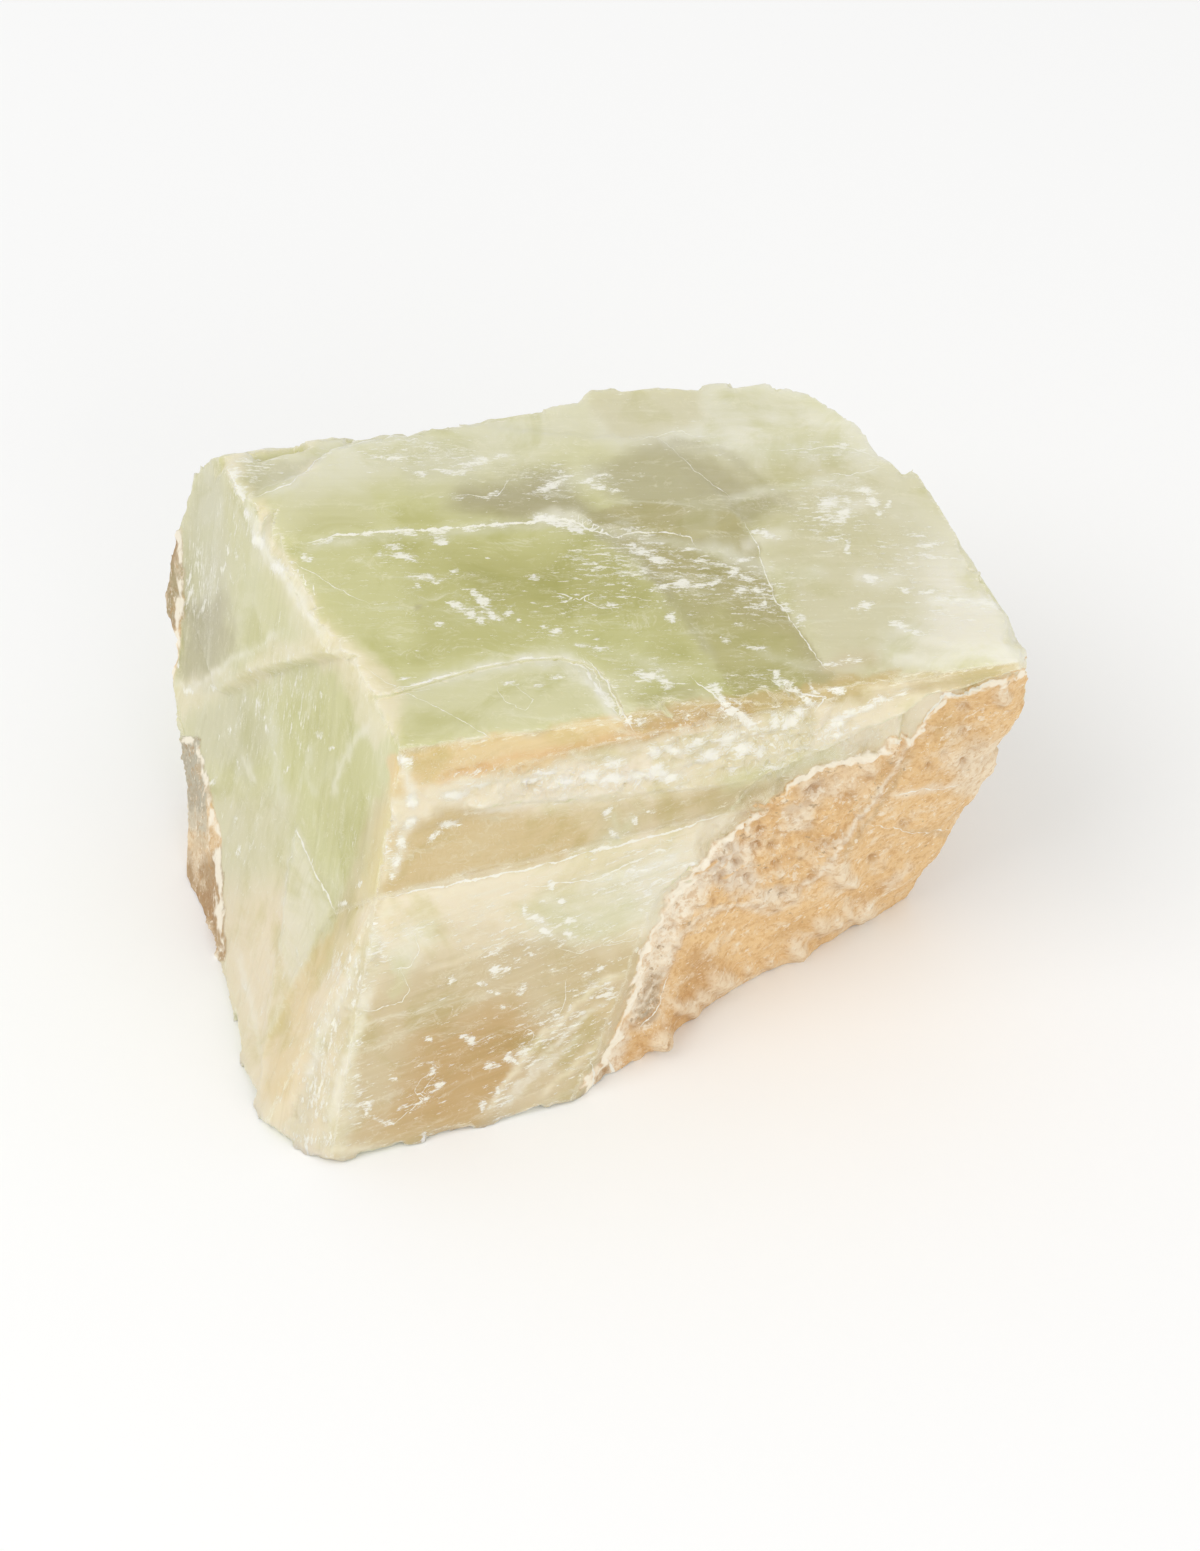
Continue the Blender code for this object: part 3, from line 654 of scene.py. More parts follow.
# white flakes: across, down, half length, half height in the view, and lean in degrees
flakes = (
    (477, 594, 8, 4, 20), (483, 603, 10, 6, 35), (456, 606, 10, 4, 20), (471, 615, 8, 4, 40),
    (480, 620, 4, 6, -10), (494, 615, 12, 4, 25), (509, 613, 6, 2, 0), (519, 620, 3, 2, 0),
    (437, 623, 8, 3, 0), (427, 577, 14, 3, 2), (412, 575, 8, 2, 0), (439, 581, 6, 2, 0), (453, 572, 6, 2, 0),
    (403, 555, 12, 4, 10), (380, 555, 6, 2, 0), (395, 547, 8, 2, 0), (442, 541, 9, 4, 15),
    (532, 578, 7, 2, 0), (486, 558, 2, 2, 0), (418, 587, 5, 2, 0), (547, 491, 12, 4, -10),
    (556, 487, 14, 3, -8), (588, 483, 14, 2, 2), (600, 490, 14, 3, 8), (616, 493, 9, 2, 0),
    (604, 478, 10, 2, 0), (560, 480, 10, 2, -6), (548, 519, 16, 4, 0), (562, 522, 14, 5, 10),
    (575, 529, 12, 4, 30), (498, 526, 14, 2, 0), (470, 529, 10, 2, -4), (440, 531, 10, 2, -4),
    (406, 533, 12, 2, -2), (368, 534, 10, 2, -4), (326, 541, 12, 2, -10), (304, 557, 4, 5, 20),
    (450, 473, 16, 3, 4), (421, 475, 8, 2, 0), (471, 466, 14, 3, 2), (483, 461, 14, 2, 0),
    (500, 458, 10, 2, 0), (456, 499, 14, 1, 2), (491, 497, 10, 2, -20), (388, 460, 20, 2, 0),
    (251, 461, 16, 2, 0), (233, 472, 6, 8, 20), (240, 490, 6, 6, 10), (248, 515, 4, 8, -20),
    (257, 540, 5, 12, -20), (278, 568, 7, 8, -30), (652, 676, 16, 4, 14), (668, 684, 10, 4, 30),
    (640, 672, 8, 2, 0), (600, 692, 9, 5, 40), (609, 702, 8, 4, 40), (556, 631, 7, 4, 0), (577, 632, 2, 2, 0),
    (580, 645, 10, 2, 5), (597, 648, 14, 2, 8), (509, 685, 12, 3, 10), (556, 679, 8, 3, 0),
    (538, 688, 4, 2, 0), (406, 679, 8, 2, -10), (612, 606, 12, 2, 10), (671, 619, 5, 6, -10),
    (641, 552, 12, 5, 10), (655, 560, 12, 4, 16), (632, 546, 10, 2, 0), (664, 560, 8, 2, 0),
    (634, 574, 18, 2, -6), (660, 588, 18, 2, -10), (682, 583, 10, 5, -20), (700, 586, 16, 3, -14),
    (716, 582, 12, 3, -14), (735, 571, 8, 5, -30), (745, 578, 10, 4, 20), (741, 590, 12, 3, 0),
    (758, 590, 7, 4, 30), (764, 604, 4, 5, 20), (720, 563, 14, 2, 0), (700, 562, 12, 2, 6),
    (690, 550, 14, 2, 4), (745, 559, 12, 2, -8), (770, 535, 12, 4, 20), (757, 531, 8, 2, 10),
    (785, 610, 7, 3, 20), (798, 626, 4, 2, 0), (726, 640, 5, 3, 30), (740, 624, 8, 2, 0),
    (756, 648, 14, 2, 8), (829, 503, 14, 6, -6), (843, 512, 10, 6, -30), (822, 519, 14, 2, -6),
    (838, 520, 10, 3, -20), (866, 490, 12, 3, 10), (872, 500, 5, 8, -20), (888, 504, 5, 5, 30),
    (880, 512, 6, 3, 0), (850, 500, 4, 3, 0), (836, 538, 8, 2, 0), (848, 546, 4, 8, 10), (866, 604, 9, 4, 0),
    (860, 608, 12, 2, 0), (800, 617, 6, 2, 0), (868, 578, 10, 5, 10), (905, 590, 8, 3, 20),
    (925, 592, 14, 2, -4), (925, 545, 14, 3, -4), (930, 556, 14, 2, 6), (916, 536, 12, 2, 0),
    (945, 559, 18, 1, 4), (952, 600, 26, 3, 2), (985, 604, 20, 3, 6), (900, 625, 12, 3, 10),
    (915, 632, 14, 2, 10), (835, 664, 14, 2, 0), (856, 660, 12, 3, -6), (838, 690, 10, 5, 0),
    (776, 672, 5, 4, 40), (780, 682, 14, 3, 40), (795, 690, 16, 4, 45), (806, 699, 14, 5, 40),
    (815, 690, 9, 3, 60), (715, 690, 8, 5, 10), (722, 700, 12, 4, 40), (730, 712, 14, 5, 40),
    (742, 718, 12, 6, 40), (750, 724, 10, 6, 30), (738, 704, 8, 2, 50), (545, 626, 8, 2, 0),
    (590, 563, 7, 2, 0), (560, 596, 8, 1, 0), (211, 568, 1.5, 7, 8), (223, 568, 1.5, 6, 8),
    (227, 550, 1.5, 5, 8), (197, 566, 2, 5, 8), (189, 579, 2, 6, 10), (192, 591, 2, 7, 12),
    (185, 603, 2, 6, 12), (205, 606, 12, 1.5, -45), (238, 556, 2, 3, 0), (204, 588, 1, 6, 10),
    (217, 590, 1, 5, 10), (199, 552, 1, 5, 8), (232, 575, 1, 5, 8), (181, 620, 3, 4, 0), (176, 640, 3, 6, 0),
    (178, 664, 4, 4, 0), (188, 690, 4, 4, 0), (213, 688, 3, 3, 0), (230, 730, 1.5, 5, 12),
    (219, 738, 2, 3, 0), (236, 728, 1.5, 5, 8), (263, 717, 1, 6, 6), (267, 730, 1, 5, 6), (320, 695, 2, 4, 0),
    (318, 735, 3, 4, 0), (301, 722, 1, 4, 10), (258, 703, 1, 5, 8), (251, 672, 2, 3, 0), (307, 747, 1, 4, 10),
    (244, 700, 1, 6, 8), (275, 752, 1, 5, 6), (212, 783, 6, 2, -40), (208, 802, 3, 2, 0),
    (240, 764, 1, 6, -12), (288, 770, 1, 6, 8), (236, 820, 1.5, 4, 0), (238, 850, 1, 5, 8),
    (331, 748, 2, 2, 0), (333, 965, 1, 7, 4), (337, 955, 1, 5, 4), (344, 904, 4, 2, -40), (360, 884, 3, 3, 0),
    (300, 950, 1, 6, 8), (262, 1010, 1, 6, 10), (245, 985, 1, 5, 10), (494, 970, 7, 8, 0),
    (482, 985, 5, 3, 10), (494, 993, 9, 2, 4), (506, 970, 6, 3, -20), (521, 989, 9, 4, -25),
    (502, 1008, 3, 2, -20), (470, 1040, 6, 5, 30), (463, 1036, 3, 3, 0), (428, 1039, 4, 1.5, 0),
    (490, 1065, 6, 5, 10), (497, 1064, 5, 3, 0), (508, 1058, 6, 6, 30), (514, 1062, 6, 2, 20),
    (498, 1091, 4, 4, 40), (526, 913, 3, 13, 0), (538, 918, 9, 4, 20), (545, 932, 10, 4, 20),
    (562, 901, 7, 4, -30), (571, 920, 9, 4, -10), (568, 934, 6, 3, 0), (531, 953, 3, 2, 0),
    (552, 886, 4, 6, -10), (494, 950, 18, 2, -33), (452, 980, 2, 8, 20), (430, 1072, 7, 3, -50),
    (439, 1085, 8, 2, -55), (426, 1100, 12, 2, -40), (404, 1106, 8, 2, -20), (360, 1106, 12, 2, -10),
    (370, 1108, 12, 3, -55), (376, 1118, 10, 2, 30), (393, 1079, 6, 3, 0), (386, 1124, 8, 2, -10),
    (422, 1138, 5, 3, -50), (483, 1106, 3, 8, 20), (556, 1014, 3, 3, 0), (572, 1005, 6, 2, -30),
    (600, 968, 8, 4, -20), (585, 974, 6, 2, 0), (555, 972, 6, 1.5, 0), (404, 761, 8, 8, 10),
    (412, 800, 7, 9, 0), (410, 824, 11, 5, -30), (402, 842, 5, 9, 10), (396, 862, 5, 10, 14),
    (391, 876, 4, 5, 0), (448, 825, 12, 4, -8), (434, 836, 12, 2, -30), (453, 795, 15, 6, -8),
    (480, 785, 14, 3, -10), (544, 772, 14, 4, 0), (533, 781, 14, 4, -6), (563, 783, 16, 6, 0),
    (590, 776, 12, 6, -10), (612, 764, 14, 8, -10), (615, 780, 14, 7, 0), (640, 776, 14, 8, 0),
    (656, 772, 14, 8, -20), (670, 778, 16, 5, -6), (673, 750, 14, 4, 0), (656, 753, 9, 7, -20),
    (692, 745, 18, 6, -20), (711, 755, 14, 7, -20), (728, 739, 14, 8, -30), (742, 748, 12, 8, 0),
    (695, 764, 14, 3, -10), (760, 752, 10, 6, -20), (775, 722, 6, 14, 10), (790, 722, 10, 8, -20),
    (800, 712, 10, 8, 0), (838, 722, 12, 8, -20), (850, 714, 10, 5, -20), (868, 706, 12, 4, -10),
    (836, 735, 14, 3, -10), (880, 700, 12, 3, -10), (900, 692, 12, 3, -10), (770, 768, 12, 3, -14),
    (735, 768, 10, 3, -20), (800, 750, 12, 2, -6), (640, 722, 10, 3, -10), (627, 722, 4, 6, 20),
    (608, 812, 4, 8, 30), (614, 834, 4, 8, -30), (635, 822, 3, 8, -20), (600, 850, 10, 2, -20),
    (650, 812, 8, 2, 0), (718, 876, 10, 3, -30), (690, 866, 14, 3, -20), (660, 852, 12, 2, -14),
    (645, 870, 18, 2, -10),
)

# scuffed areas: face, across, down, reach across, reach down, strength
scuffs = (
    ("top", 250, 470, 40, 26, 0.95), ("top", 300, 560, 40, 50, 0.35), ("top", 400, 555, 90, 30, 0.65),
    ("top", 480, 600, 60, 30, 0.75), ("top", 560, 480, 90, 26, 0.9), ("top", 420, 455, 90, 26, 0.95),
    ("top", 620, 560, 70, 50, 1.05), ("top", 680, 580, 70, 40, 0.9), ("top", 760, 590, 60, 40, 1.05),
    ("top", 830, 510, 60, 40, 1.0), ("top", 900, 560, 60, 50, 0.8), ("top", 960, 610, 60, 40, 0.8),
    ("top", 650, 680, 70, 40, 0.8), ("top", 760, 690, 80, 40, 0.7), ("top", 840, 450, 80, 26, 0.8),
    ("top", 700, 440, 90, 26, 0.4), ("top", 560, 620, 90, 50, 0.6), ("top", 400, 600, 70, 60, 0.5),
    ("left", 200, 580, 40, 70, 0.9), ("left", 240, 520, 40, 60, 0.7), ("left", 280, 700, 60, 90, 0.8),
    ("left", 250, 830, 50, 120, 0.5), ("left", 300, 1010, 50, 110, 0.45), ("left", 350, 830, 40, 80, 0.4),
    ("front", 560, 780, 190, 30, 0.95), ("front", 760, 740, 160, 50, 1.1), ("front", 390, 840, 20, 60, 1.1),
    ("front", 540, 930, 110, 50, 0.85), ("front", 640, 880, 90, 50, 0.9), ("front", 490, 1050, 90, 50, 0.5),
    ("front", 420, 1090, 60, 50, 0.6), ("front", 560, 1040, 70, 60, 0.95), ("front", 340, 1080, 50, 100, 0.9),
    ("front", 440, 1000, 70, 60, 0.3), ("seen", 352, 975, 22, 40, 1.2), ("seen", 330, 1035, 22, 40, 1.2),
    ("seen", 312, 1095, 24, 40, 1.2), ("seen", 312, 1145, 40, 16, 1.1), ("front", 375, 940, 26, 30, 1.15),
    ("front", 530, 1060, 20, 20, 1.4), ("front", 570, 1018, 26, 16, 1.4), ("front", 600, 990, 24, 16, 1.4),
    ("front", 500, 1096, 16, 20, 1.4), ("front", 420, 930, 24, 14, 1.1),
)

# white lines where layers break: face, half width in millimetres, white share, line in the view
seams = (
    ("top", 0.10, 0.8, ((304, 544), (336, 536), (380, 533), (468, 527), (506, 524), (536, 521), (565, 518),
        (582, 527), (600, 533), (620, 538))),
    ("top", 0.07, 0.7, ((245, 500), (286, 488), (310, 468), (313, 462), (336, 449), (365, 440), (409, 436),
        (459, 424))),
    ("top", 0.30, 0.9, ((227, 468), (245, 500), (257, 538), (271, 559), (298, 585), (321, 632))),
    ("top", 0.06, 0.8, ((453, 497), (497, 499), (509, 481))),
    ("top", 0.04, 0.8, ((286, 559), (330, 583), (365, 603))),
    ("top", 0.05, 0.8, ((553, 591), (585, 600), (612, 610))),
    ("top", 0.05, 0.8, ((559, 603), (594, 593))),
    ("top", 0.16, 0.8, ((395, 691), (468, 670), (527, 659), (553, 657), (582, 668), (600, 691), (620, 717))),
    ("top", 0.05, 0.5, ((497, 688), (506, 703), (527, 712), (533, 700), (512, 685))),
    ("top", 0.05, 0.5, ((365, 668), (412, 697), (453, 717), (492, 739), (522, 756))),
    ("top", 0.04, 0.4, ((374, 704), (385, 696), (407, 696))),
    ("top", 0.06, 0.5, ((637, 443), (661, 434), (682, 430), (692, 436))),
    ("top", 0.05, 0.5, ((661, 437), (695, 471), (728, 496))),
    ("top", 0.05, 0.6, ((771, 451), (820, 447), (854, 447), (881, 459))),
    ("top", 0.05, 0.6, ((829, 475), (866, 472), (884, 465))),
    ("top", 0.06, 0.9, ((744, 523), (756, 540), (774, 597), (829, 672))),
    ("top", 0.07, 0.7, ((581, 517), (615, 538), (637, 532), (661, 532), (692, 538), (698, 548))),
    ("seen", 0.08, 0.8, ((586, 660), (607, 684), (627, 722), (633, 731))),
    ("seen", 0.08, 0.8, ((692, 678), (721, 701), (745, 716), (768, 739))),
    ("seen", 0.08, 0.8, ((771, 678), (786, 689), (824, 698), (815, 716))),
    ("left", 0.07, 0.6, ((298, 829), (311, 860), (332, 902), (336, 912))),
    ("left", 0.05, 0.5, ((298, 829), (287, 881), (280, 950))),
    ("front", 0.12, 0.8, ((385, 898), (522, 871), (593, 852), (667, 833), (728, 813))),
    ("front", 0.10, 0.6, ((527, 887), (590, 882), (621, 868), (681, 843))),
    ("front", 0.05, 0.5, ((474, 959), (492, 946), (512, 937))),
    ("front", 0.05, 0.6, ((385, 970), (410, 968), (420, 950), (412, 930))),
    ("front", 0.05, 0.5, ((600, 945), (630, 930), (650, 926))),
    ("front", 0.04, 0.7, ((865, 825), (892, 828), (918, 833), (950, 829))),
    ("front", 0.05, 0.7, ((891, 797), (920, 789), (940, 790), (961, 784))),
    ("front", 0.12, 0.9, ((992, 680), (960, 694), (942, 694), (932, 708), (923, 722))),
    ("front", 0.12, 0.9, ((592, 1060), (592, 1088), (604, 1096), (614, 1070), (606, 1058))),
    ("front", 0.06, 0.8, ((640, 1030), (660, 1004), (668, 976))),
    ("front", 0.05, 0.6, ((558, 949), (581, 954), (599, 947), (619, 944), (642, 936))),
    ("front", 0.04, 0.6, ((566, 980), (564, 1003), (558, 1013))),
    ("front", 0.04, 0.6, ((522, 1036), (524, 1030), (530, 1030), (534, 1036), (530, 1042))),
    ("front", 0.05, 0.7, ((359, 1013), (382, 1008), (402, 1003), (410, 990), (402, 972))),
    ("front", 0.05, 0.7, ((434, 1070), (436, 1076), (428, 1086), (420, 1096), (415, 1091), (421, 1079),
        (432, 1069))),
    ("front", 0.05, 0.7, ((433, 1090), (413, 1110), (395, 1123))),
)

# raised and sunken layers: face, height in millimetres, width of the edge and outline in the view
layers = (
    ("top", 0.22, 7, ((395, 691), (468, 670), (527, 659), (553, 657), (582, 668), (600, 691), (622, 722),
        (560, 760), (380, 790))),
    ("top", 0.28, 6, ((296, 545), (336, 536), (380, 533), (468, 527), (506, 524), (536, 521), (565, 518),
        (582, 527), (600, 533), (640, 530), (692, 538), (744, 523), (720, 495), (661, 437), (600, 440),
        (460, 424), (336, 449), (310, 468), (245, 500), (262, 540))),
    ("top", -0.12, 6, ((661, 437), (695, 471), (728, 496), (701, 495), (672, 460))),
    ("left", 0.45, 9, ((298, 829), (311, 860), (332, 902), (336, 912), (324, 931), (301, 984), (271, 1043),
        (262, 1090), (270, 1000), (280, 950), (287, 881))),
)


def steppedBy(layerList):
    # the height of the thin broken layers at each point
    rise = np.zeros(len(places))
    for face, height, softness, outline in layerList:
        depth = outlineGap(outline, *wavered(3))
        rise += height * faces[face] * seen * ease(-softness / 2, softness / 2, depth)
    return rise


def flakeField():
    # above 0 inside a flake, falling to -1 away from it
    field = np.full(len(places), -1.0)
    bentX, bentY = wavered(4)[0], wavered(3)[1]
    for x, y, reach, height, lean in flakes:
        cosine, sine = math.cos(math.radians(lean)), math.sin(math.radians(lean))
        run = ((bentX - x) * cosine + (bentY - y) * sine) / (0.95 * reach + 0.5)
        rise = ((bentY - y) * cosine - (bentX - x) * sine) / (0.85 * height + 0.9)
        peak = 0.6 + 0.5 * min(1, min(reach, height) / 4)
        field = np.maximum(field, peak * (1 - np.hypot(run, rise)))
    return np.where(seen > 0.5, np.maximum(field, -1), -1)


def scuffField():
    # how bruised the clear stone is, with a little everywhere
    field = np.full(len(places), 0.12) + 0.25 * faces["hidden"] * ease(0.0, 0.5, cloud(8.0, 9))
    for face, x, y, reachX, reachY, strength in scuffs:
        share = np.exp(-((bentAcross - x) / reachX) ** 2 - ((bentDown - y) / reachY) ** 2)
        field = np.maximum(field, strength * share * faces[face] * seen)
    return field


def seamFields():
    # signed millimetres across the nearest line, and that line's half width there
    farthest = 3.0
    offset, width = np.full(len(places), farthest), np.zeros(len(places))
    nearest = np.full(len(places), 1e9)
    for face, halfWidth, share, line in seams:
        gap, along = lineGap(line, *wavered(2.5))
        tapered = halfWidth * share * np.minimum(1, 6 * np.minimum(along, 1 - along) + 0.15)
        closer = (np.abs(gap) < nearest) & (faces[face] > 0.5) & (seen > 0.5)
        nearest[closer] = np.abs(gap)[closer]
        offset[closer] = np.clip(gap * crustSetting["perView"], -farthest, farthest)[closer]
        width[closer] = (tapered * ease(12, 8, np.abs(gap)))[closer]
    return offset, width


# strokes of colour: face, colour, strength, half width and line in the view
strokes = (
    ("seen", "frost", 0.75, 5, ((226, 459), (236, 480), (248, 503), (261, 545), (277, 568), (300, 600),
        (324, 640))),
    ("top", "cream", 0.6, 12, ((336, 644), (352, 660), (371, 690), (385, 720))),
    ("top", "milk", 0.7, 7, ((409, 690), (483, 668), (532, 660), (565, 659), (588, 672), (606, 700),
        (618, 716))),
    ("top", "frost", 0.55, 5, ((580, 676), (596, 692), (610, 712), (624, 728))),
    ("top", "milk", 0.6, 7, ((312, 462), (333, 450), (365, 442), (409, 442), (470, 440))),
    ("top", "milk", 0.6, 4, ((248, 502), (286, 491), (305, 474), (312, 462))),
    ("top", "cream", 0.5, 5, ((300, 478), (312, 466), (318, 472))),
    ("top", "milk", 0.5, 6, ((300, 545), (380, 536), (468, 530), (536, 524))),
    ("top", "frost", 0.6, 7, ((532, 522), (560, 514), (580, 520), (590, 530))),
    ("top", "milk", 0.5, 5, ((590, 532), (640, 538), (690, 545), (745, 560))),
    ("top", "frost", 0.25, 8, ((455, 468), (490, 462), (540, 458))),
    ("top", "milk", 0.4, 10, ((600, 478), (560, 484), (545, 490))),
    ("top", "smoke", 0.5, 5, ((540, 499), (575, 506), (600, 520), (640, 530))),
    ("top", "smoke", 0.6, 6, ((585, 522), (640, 560), (690, 620), (716, 664))),
    ("top", "smoke", 0.45, 6, ((660, 440), (720, 446), (760, 480), (790, 500))),
    ("top", "milk", 0.5, 5, ((722, 500), (765, 490), (830, 480), (885, 470))),
    ("top", "milk", 0.6, 6, ((640, 436), (690, 434), (760, 450), (830, 446), (880, 452))),
    ("top", "frost", 0.5, 12, ((720, 440), (780, 430), (860, 426))),
    ("seen", "smoke", 0.6, 4, ((322, 437), (380, 432), (430, 428), (466, 424))),
    ("top", "frost", 0.5, 7, ((740, 545), (775, 535), (790, 528))),
    ("top", "milk", 0.5, 9, ((700, 540), (745, 560), (790, 575), (830, 570))),
    ("top", "frost", 0.55, 8, ((820, 500), (845, 510), (870, 500))),
    ("top", "frost", 0.45, 9, ((850, 575), (880, 580), (905, 575))),
    ("top", "frost", 0.75, 7, ((925, 602), (960, 600), (1000, 608))),
    ("top", "frost", 0.6, 6, ((895, 628), (930, 640), (980, 650))),
    ("top", "frost", 0.7, 9, ((880, 652), (930, 662), (970, 655), (1015, 650))),
    ("top", "milk", 0.3, 5, ((756, 650), (800, 665), (850, 668), (880, 660))),
    ("top", "paleGreen", 0.25, 12, ((560, 640), (620, 650), (680, 680))),
    ("top", "milk", 0.3, 6, ((580, 645), (630, 655), (690, 690), (735, 715))),
    ("top", "heart", 0.6, 10, ((640, 690), (690, 684), (740, 690))),
    ("left", "milk", 0.3, 9, ((250, 505), (262, 540), (250, 600), (240, 640))),
    ("left", "heart", 0.35, 10, ((212, 520), (200, 560), (196, 600))),
    ("left", "smoke", 0.7, 12, ((197, 600), (204, 630), (198, 655))),
    ("left", "frost", 0.5, 4, ((170, 680), (190, 690), (222, 668), (240, 655), (262, 645), (284, 630))),
    ("left", "mist", 0.5, 8, ((200, 690), (220, 684), (245, 664))),
    ("left", "frost", 0.4, 3, ((243, 754), (249, 770), (255, 785))),
    ("left", "frost", 0.45, 4, ((332, 800), (336, 778), (345, 758), (358, 735), (372, 722))),
    ("left", "milk", 0.45, 4, ((312, 740), (306, 770), (316, 800))),
    ("left", "milk", 0.4, 6, ((270, 700), (276, 760), (282, 810))),
    ("left", "spring", 0.5, 8, ((296, 700), (300, 760), (316, 830), (330, 880))),
    ("left", "tan", 0.6, 7, ((384, 790), (367, 833), (353, 881), (343, 915), (340, 945))),
    ("left", "honey", 0.45, 4, ((345, 905), (330, 940), (312, 985), (290, 1030), (276, 1075))),
    ("left", "frost", 0.4, 4, ((238, 950), (250, 1000), (262, 1060))),
    ("seen", "frost", 0.55, 5, ((364, 945), (340, 995), (318, 1040), (306, 1090))),
    ("seen", "frost", 0.5, 5, ((372, 985), (358, 1030), (342, 1075), (330, 1130))),
    ("seen", "blush", 0.5, 6, ((350, 1010), (330, 1060), (318, 1110), (312, 1150))),
    ("front", "rust", 0.65, 5, ((440, 782), (478, 771), (505, 757), (538, 755), (566, 750), (604, 741),
        (654, 732), (714, 722))),
    ("front", "frost", 0.7, 6, ((400, 758), (408, 778), (414, 802))),
    ("front", "frost", 0.6, 5, ((411, 818), (404, 836), (398, 856), (392, 878))),
    ("front", "cream", 0.7, 5, ((440, 796), (480, 790), (530, 778), (600, 772))),
    ("front", "frost", 0.55, 4, ((480, 812), (520, 806), (560, 800), (620, 794))),
    ("front", "blush", 0.5, 8, ((500, 812), (560, 806), (620, 800))),
    ("front", "milk", 0.5, 5, ((612, 812), (618, 827), (605, 845))),
    ("front", "milk", 0.5, 4, ((634, 815), (626, 830), (610, 848))),
    ("front", "paleGreen", 0.6, 9, ((716, 788), (750, 776), (790, 766), (850, 750))),
    ("front", "amber", 0.7, 9, ((650, 814), (690, 804), (720, 792))),
    ("seen", "ochre", 0.65, 10, ((640, 728), (680, 719), (720, 711), (760, 704))),
    ("top", "smoke", 0.35, 14, ((660, 610), (700, 604), (730, 590))),
    ("seen", "olive", 0.6, 8, ((636, 704), (662, 699), (700, 692))),
    ("top", "spring", 0.35, 26, ((570, 636), (620, 640), (650, 650))),
    ("top", "heart", 0.35, 16, ((670, 600), (700, 604), (730, 612))),
    ("seen", "tan", 0.6, 9, ((820, 672), (850, 662), (880, 656))),
    ("top", "spring", 0.5, 20, ((370, 510), (400, 505), (440, 502))),
    ("front", "ochre", 0.5, 14, ((470, 1090), (484, 1076), (492, 1060))),
    ("front", "wall", 0.6, 9, ((540, 784), (600, 775), (680, 768), (740, 752))),
    # umber and foot strokes on the crust: its own brown, deepened as painted shade at the feet of lumps and
    # of the terrace step
    ("front", "umber", 0.55, 9, ((800, 834), (830, 842), (846, 828))),
    ("front", "umber", 0.5, 8, ((872, 768), (852, 790), (838, 810))),
    ("front", "umber", 0.45, 10, ((764, 796), (750, 822), (756, 846))),
    ("front", "foot", 0.5, 4, ((778, 890), (800, 884), (818, 872))),
    ("front", "umber", 0.55, 7, ((846, 902), (878, 892), (902, 872))),
    ("front", "umber", 0.6, 7, ((692, 986), (682, 1008), (664, 1034))),
    ("front", "foot", 0.45, 4, ((706, 986), (690, 1002), (678, 1014))),
    ("front", "umber", 0.45, 9, ((900, 752), (888, 764), (884, 780))),
    ("front", "paleSand", 0.5, 14, ((966, 766), (994, 756))),
    ("front", "amber", 0.45, 13, ((542, 1068), (568, 1042), (602, 1008))),
    ("seen", "ochre", 0.35, 8, ((656, 722), (700, 712))),
    ("top", "heart", 0.55, 18, ((582, 632), (622, 650))),
    ("top", "olive", 0.55, 22, ((688, 590), (712, 612))),
    ("top", "milk", 0.4, 18, ((880, 648), (922, 634))),
    ("top", "milk", 0.4, 16, ((336, 458), (386, 452))),
    ("top", "milk", 0.35, 18, ((498, 434), (548, 426))),
    ("top", "mist", 0.3, 16, ((682, 524), (720, 518))),
    ("left", "smoke", 0.22, 12, ((208, 478), (218, 500))),
    ("left", "heart", 0.22, 18, ((246, 568), (254, 594))),
    ("seen", "heart", 0.4, 6, ((640, 702), (684, 697))),
    ("front", "milk", 0.4, 17, ((518, 916), (562, 904))),
    ("front", "milk", 0.4, 14, ((388, 966), (414, 956))),
    ("front", "ochre", 0.35, 15, ((938, 722), (958, 740))),
    ("front", "ochre", 0.4, 14, ((474, 1088), (486, 1072))),
    ("front", "sand", 0.45, 9, ((998, 696), (1012, 684))),
    ("front", "umber", 0.3, 14, ((692, 988), (708, 972))),
    ("leftEnd", "smoke", 0.55, 14, ((176, 560), (176, 620))),
    ("leftEnd", "slate", 0.45, 12, ((196, 826), (204, 850))),
    ("leftEnd", "foot", 0.4, 12, ((206, 890), (210, 920))),
    ("seen", "mist", 0.7, 14, ((200, 470), (214, 495), (204, 524))),
    ("top", "mist", 0.4, 22, ((400, 478), (440, 472), (480, 466))),
    ("front", "umber", 0.5, 10, ((990, 700), (1008, 684))),
    ("front", "stoneGrey", 0.5, 14, ((728, 868), (744, 874))),
    ("seen", "cream", 0.5, 6, ((860, 694), (890, 688), (910, 686))),
    ("seen", "cream", 0.6, 6, ((228, 452), (262, 447), (300, 443), (322, 440))),
    ("front", "straw", 0.45, 10, ((584, 1016), (606, 1006), (620, 992))),
    ("front", "blush", 0.5, 7, ((450, 804), (500, 796), (560, 790))),
    ("front", "tan", 0.4, 7, ((840, 748), (866, 742), (884, 736))),
    ("front", "cream", 0.6, 5, ((385, 903), (462, 889), (522, 876), (593, 859), (670, 836))),
    ("front", "frost", 0.6, 4, ((585, 882), (607, 876), (645, 871), (684, 852))),
    ("front", "frost", 0.65, 10, ((400, 938), (423, 934), (440, 926))),
    ("front", "frost", 0.6, 11, ((360, 960), (368, 945), (375, 930))),
    ("front", "paleGreen", 0.45, 8, ((390, 1000), (400, 985), (405, 960))),
    ("front", "cream", 0.45, 5, ((423, 972), (459, 960), (510, 938))),
    ("front", "milk", 0.5, 16, ((560, 930), (600, 920), (640, 900))),
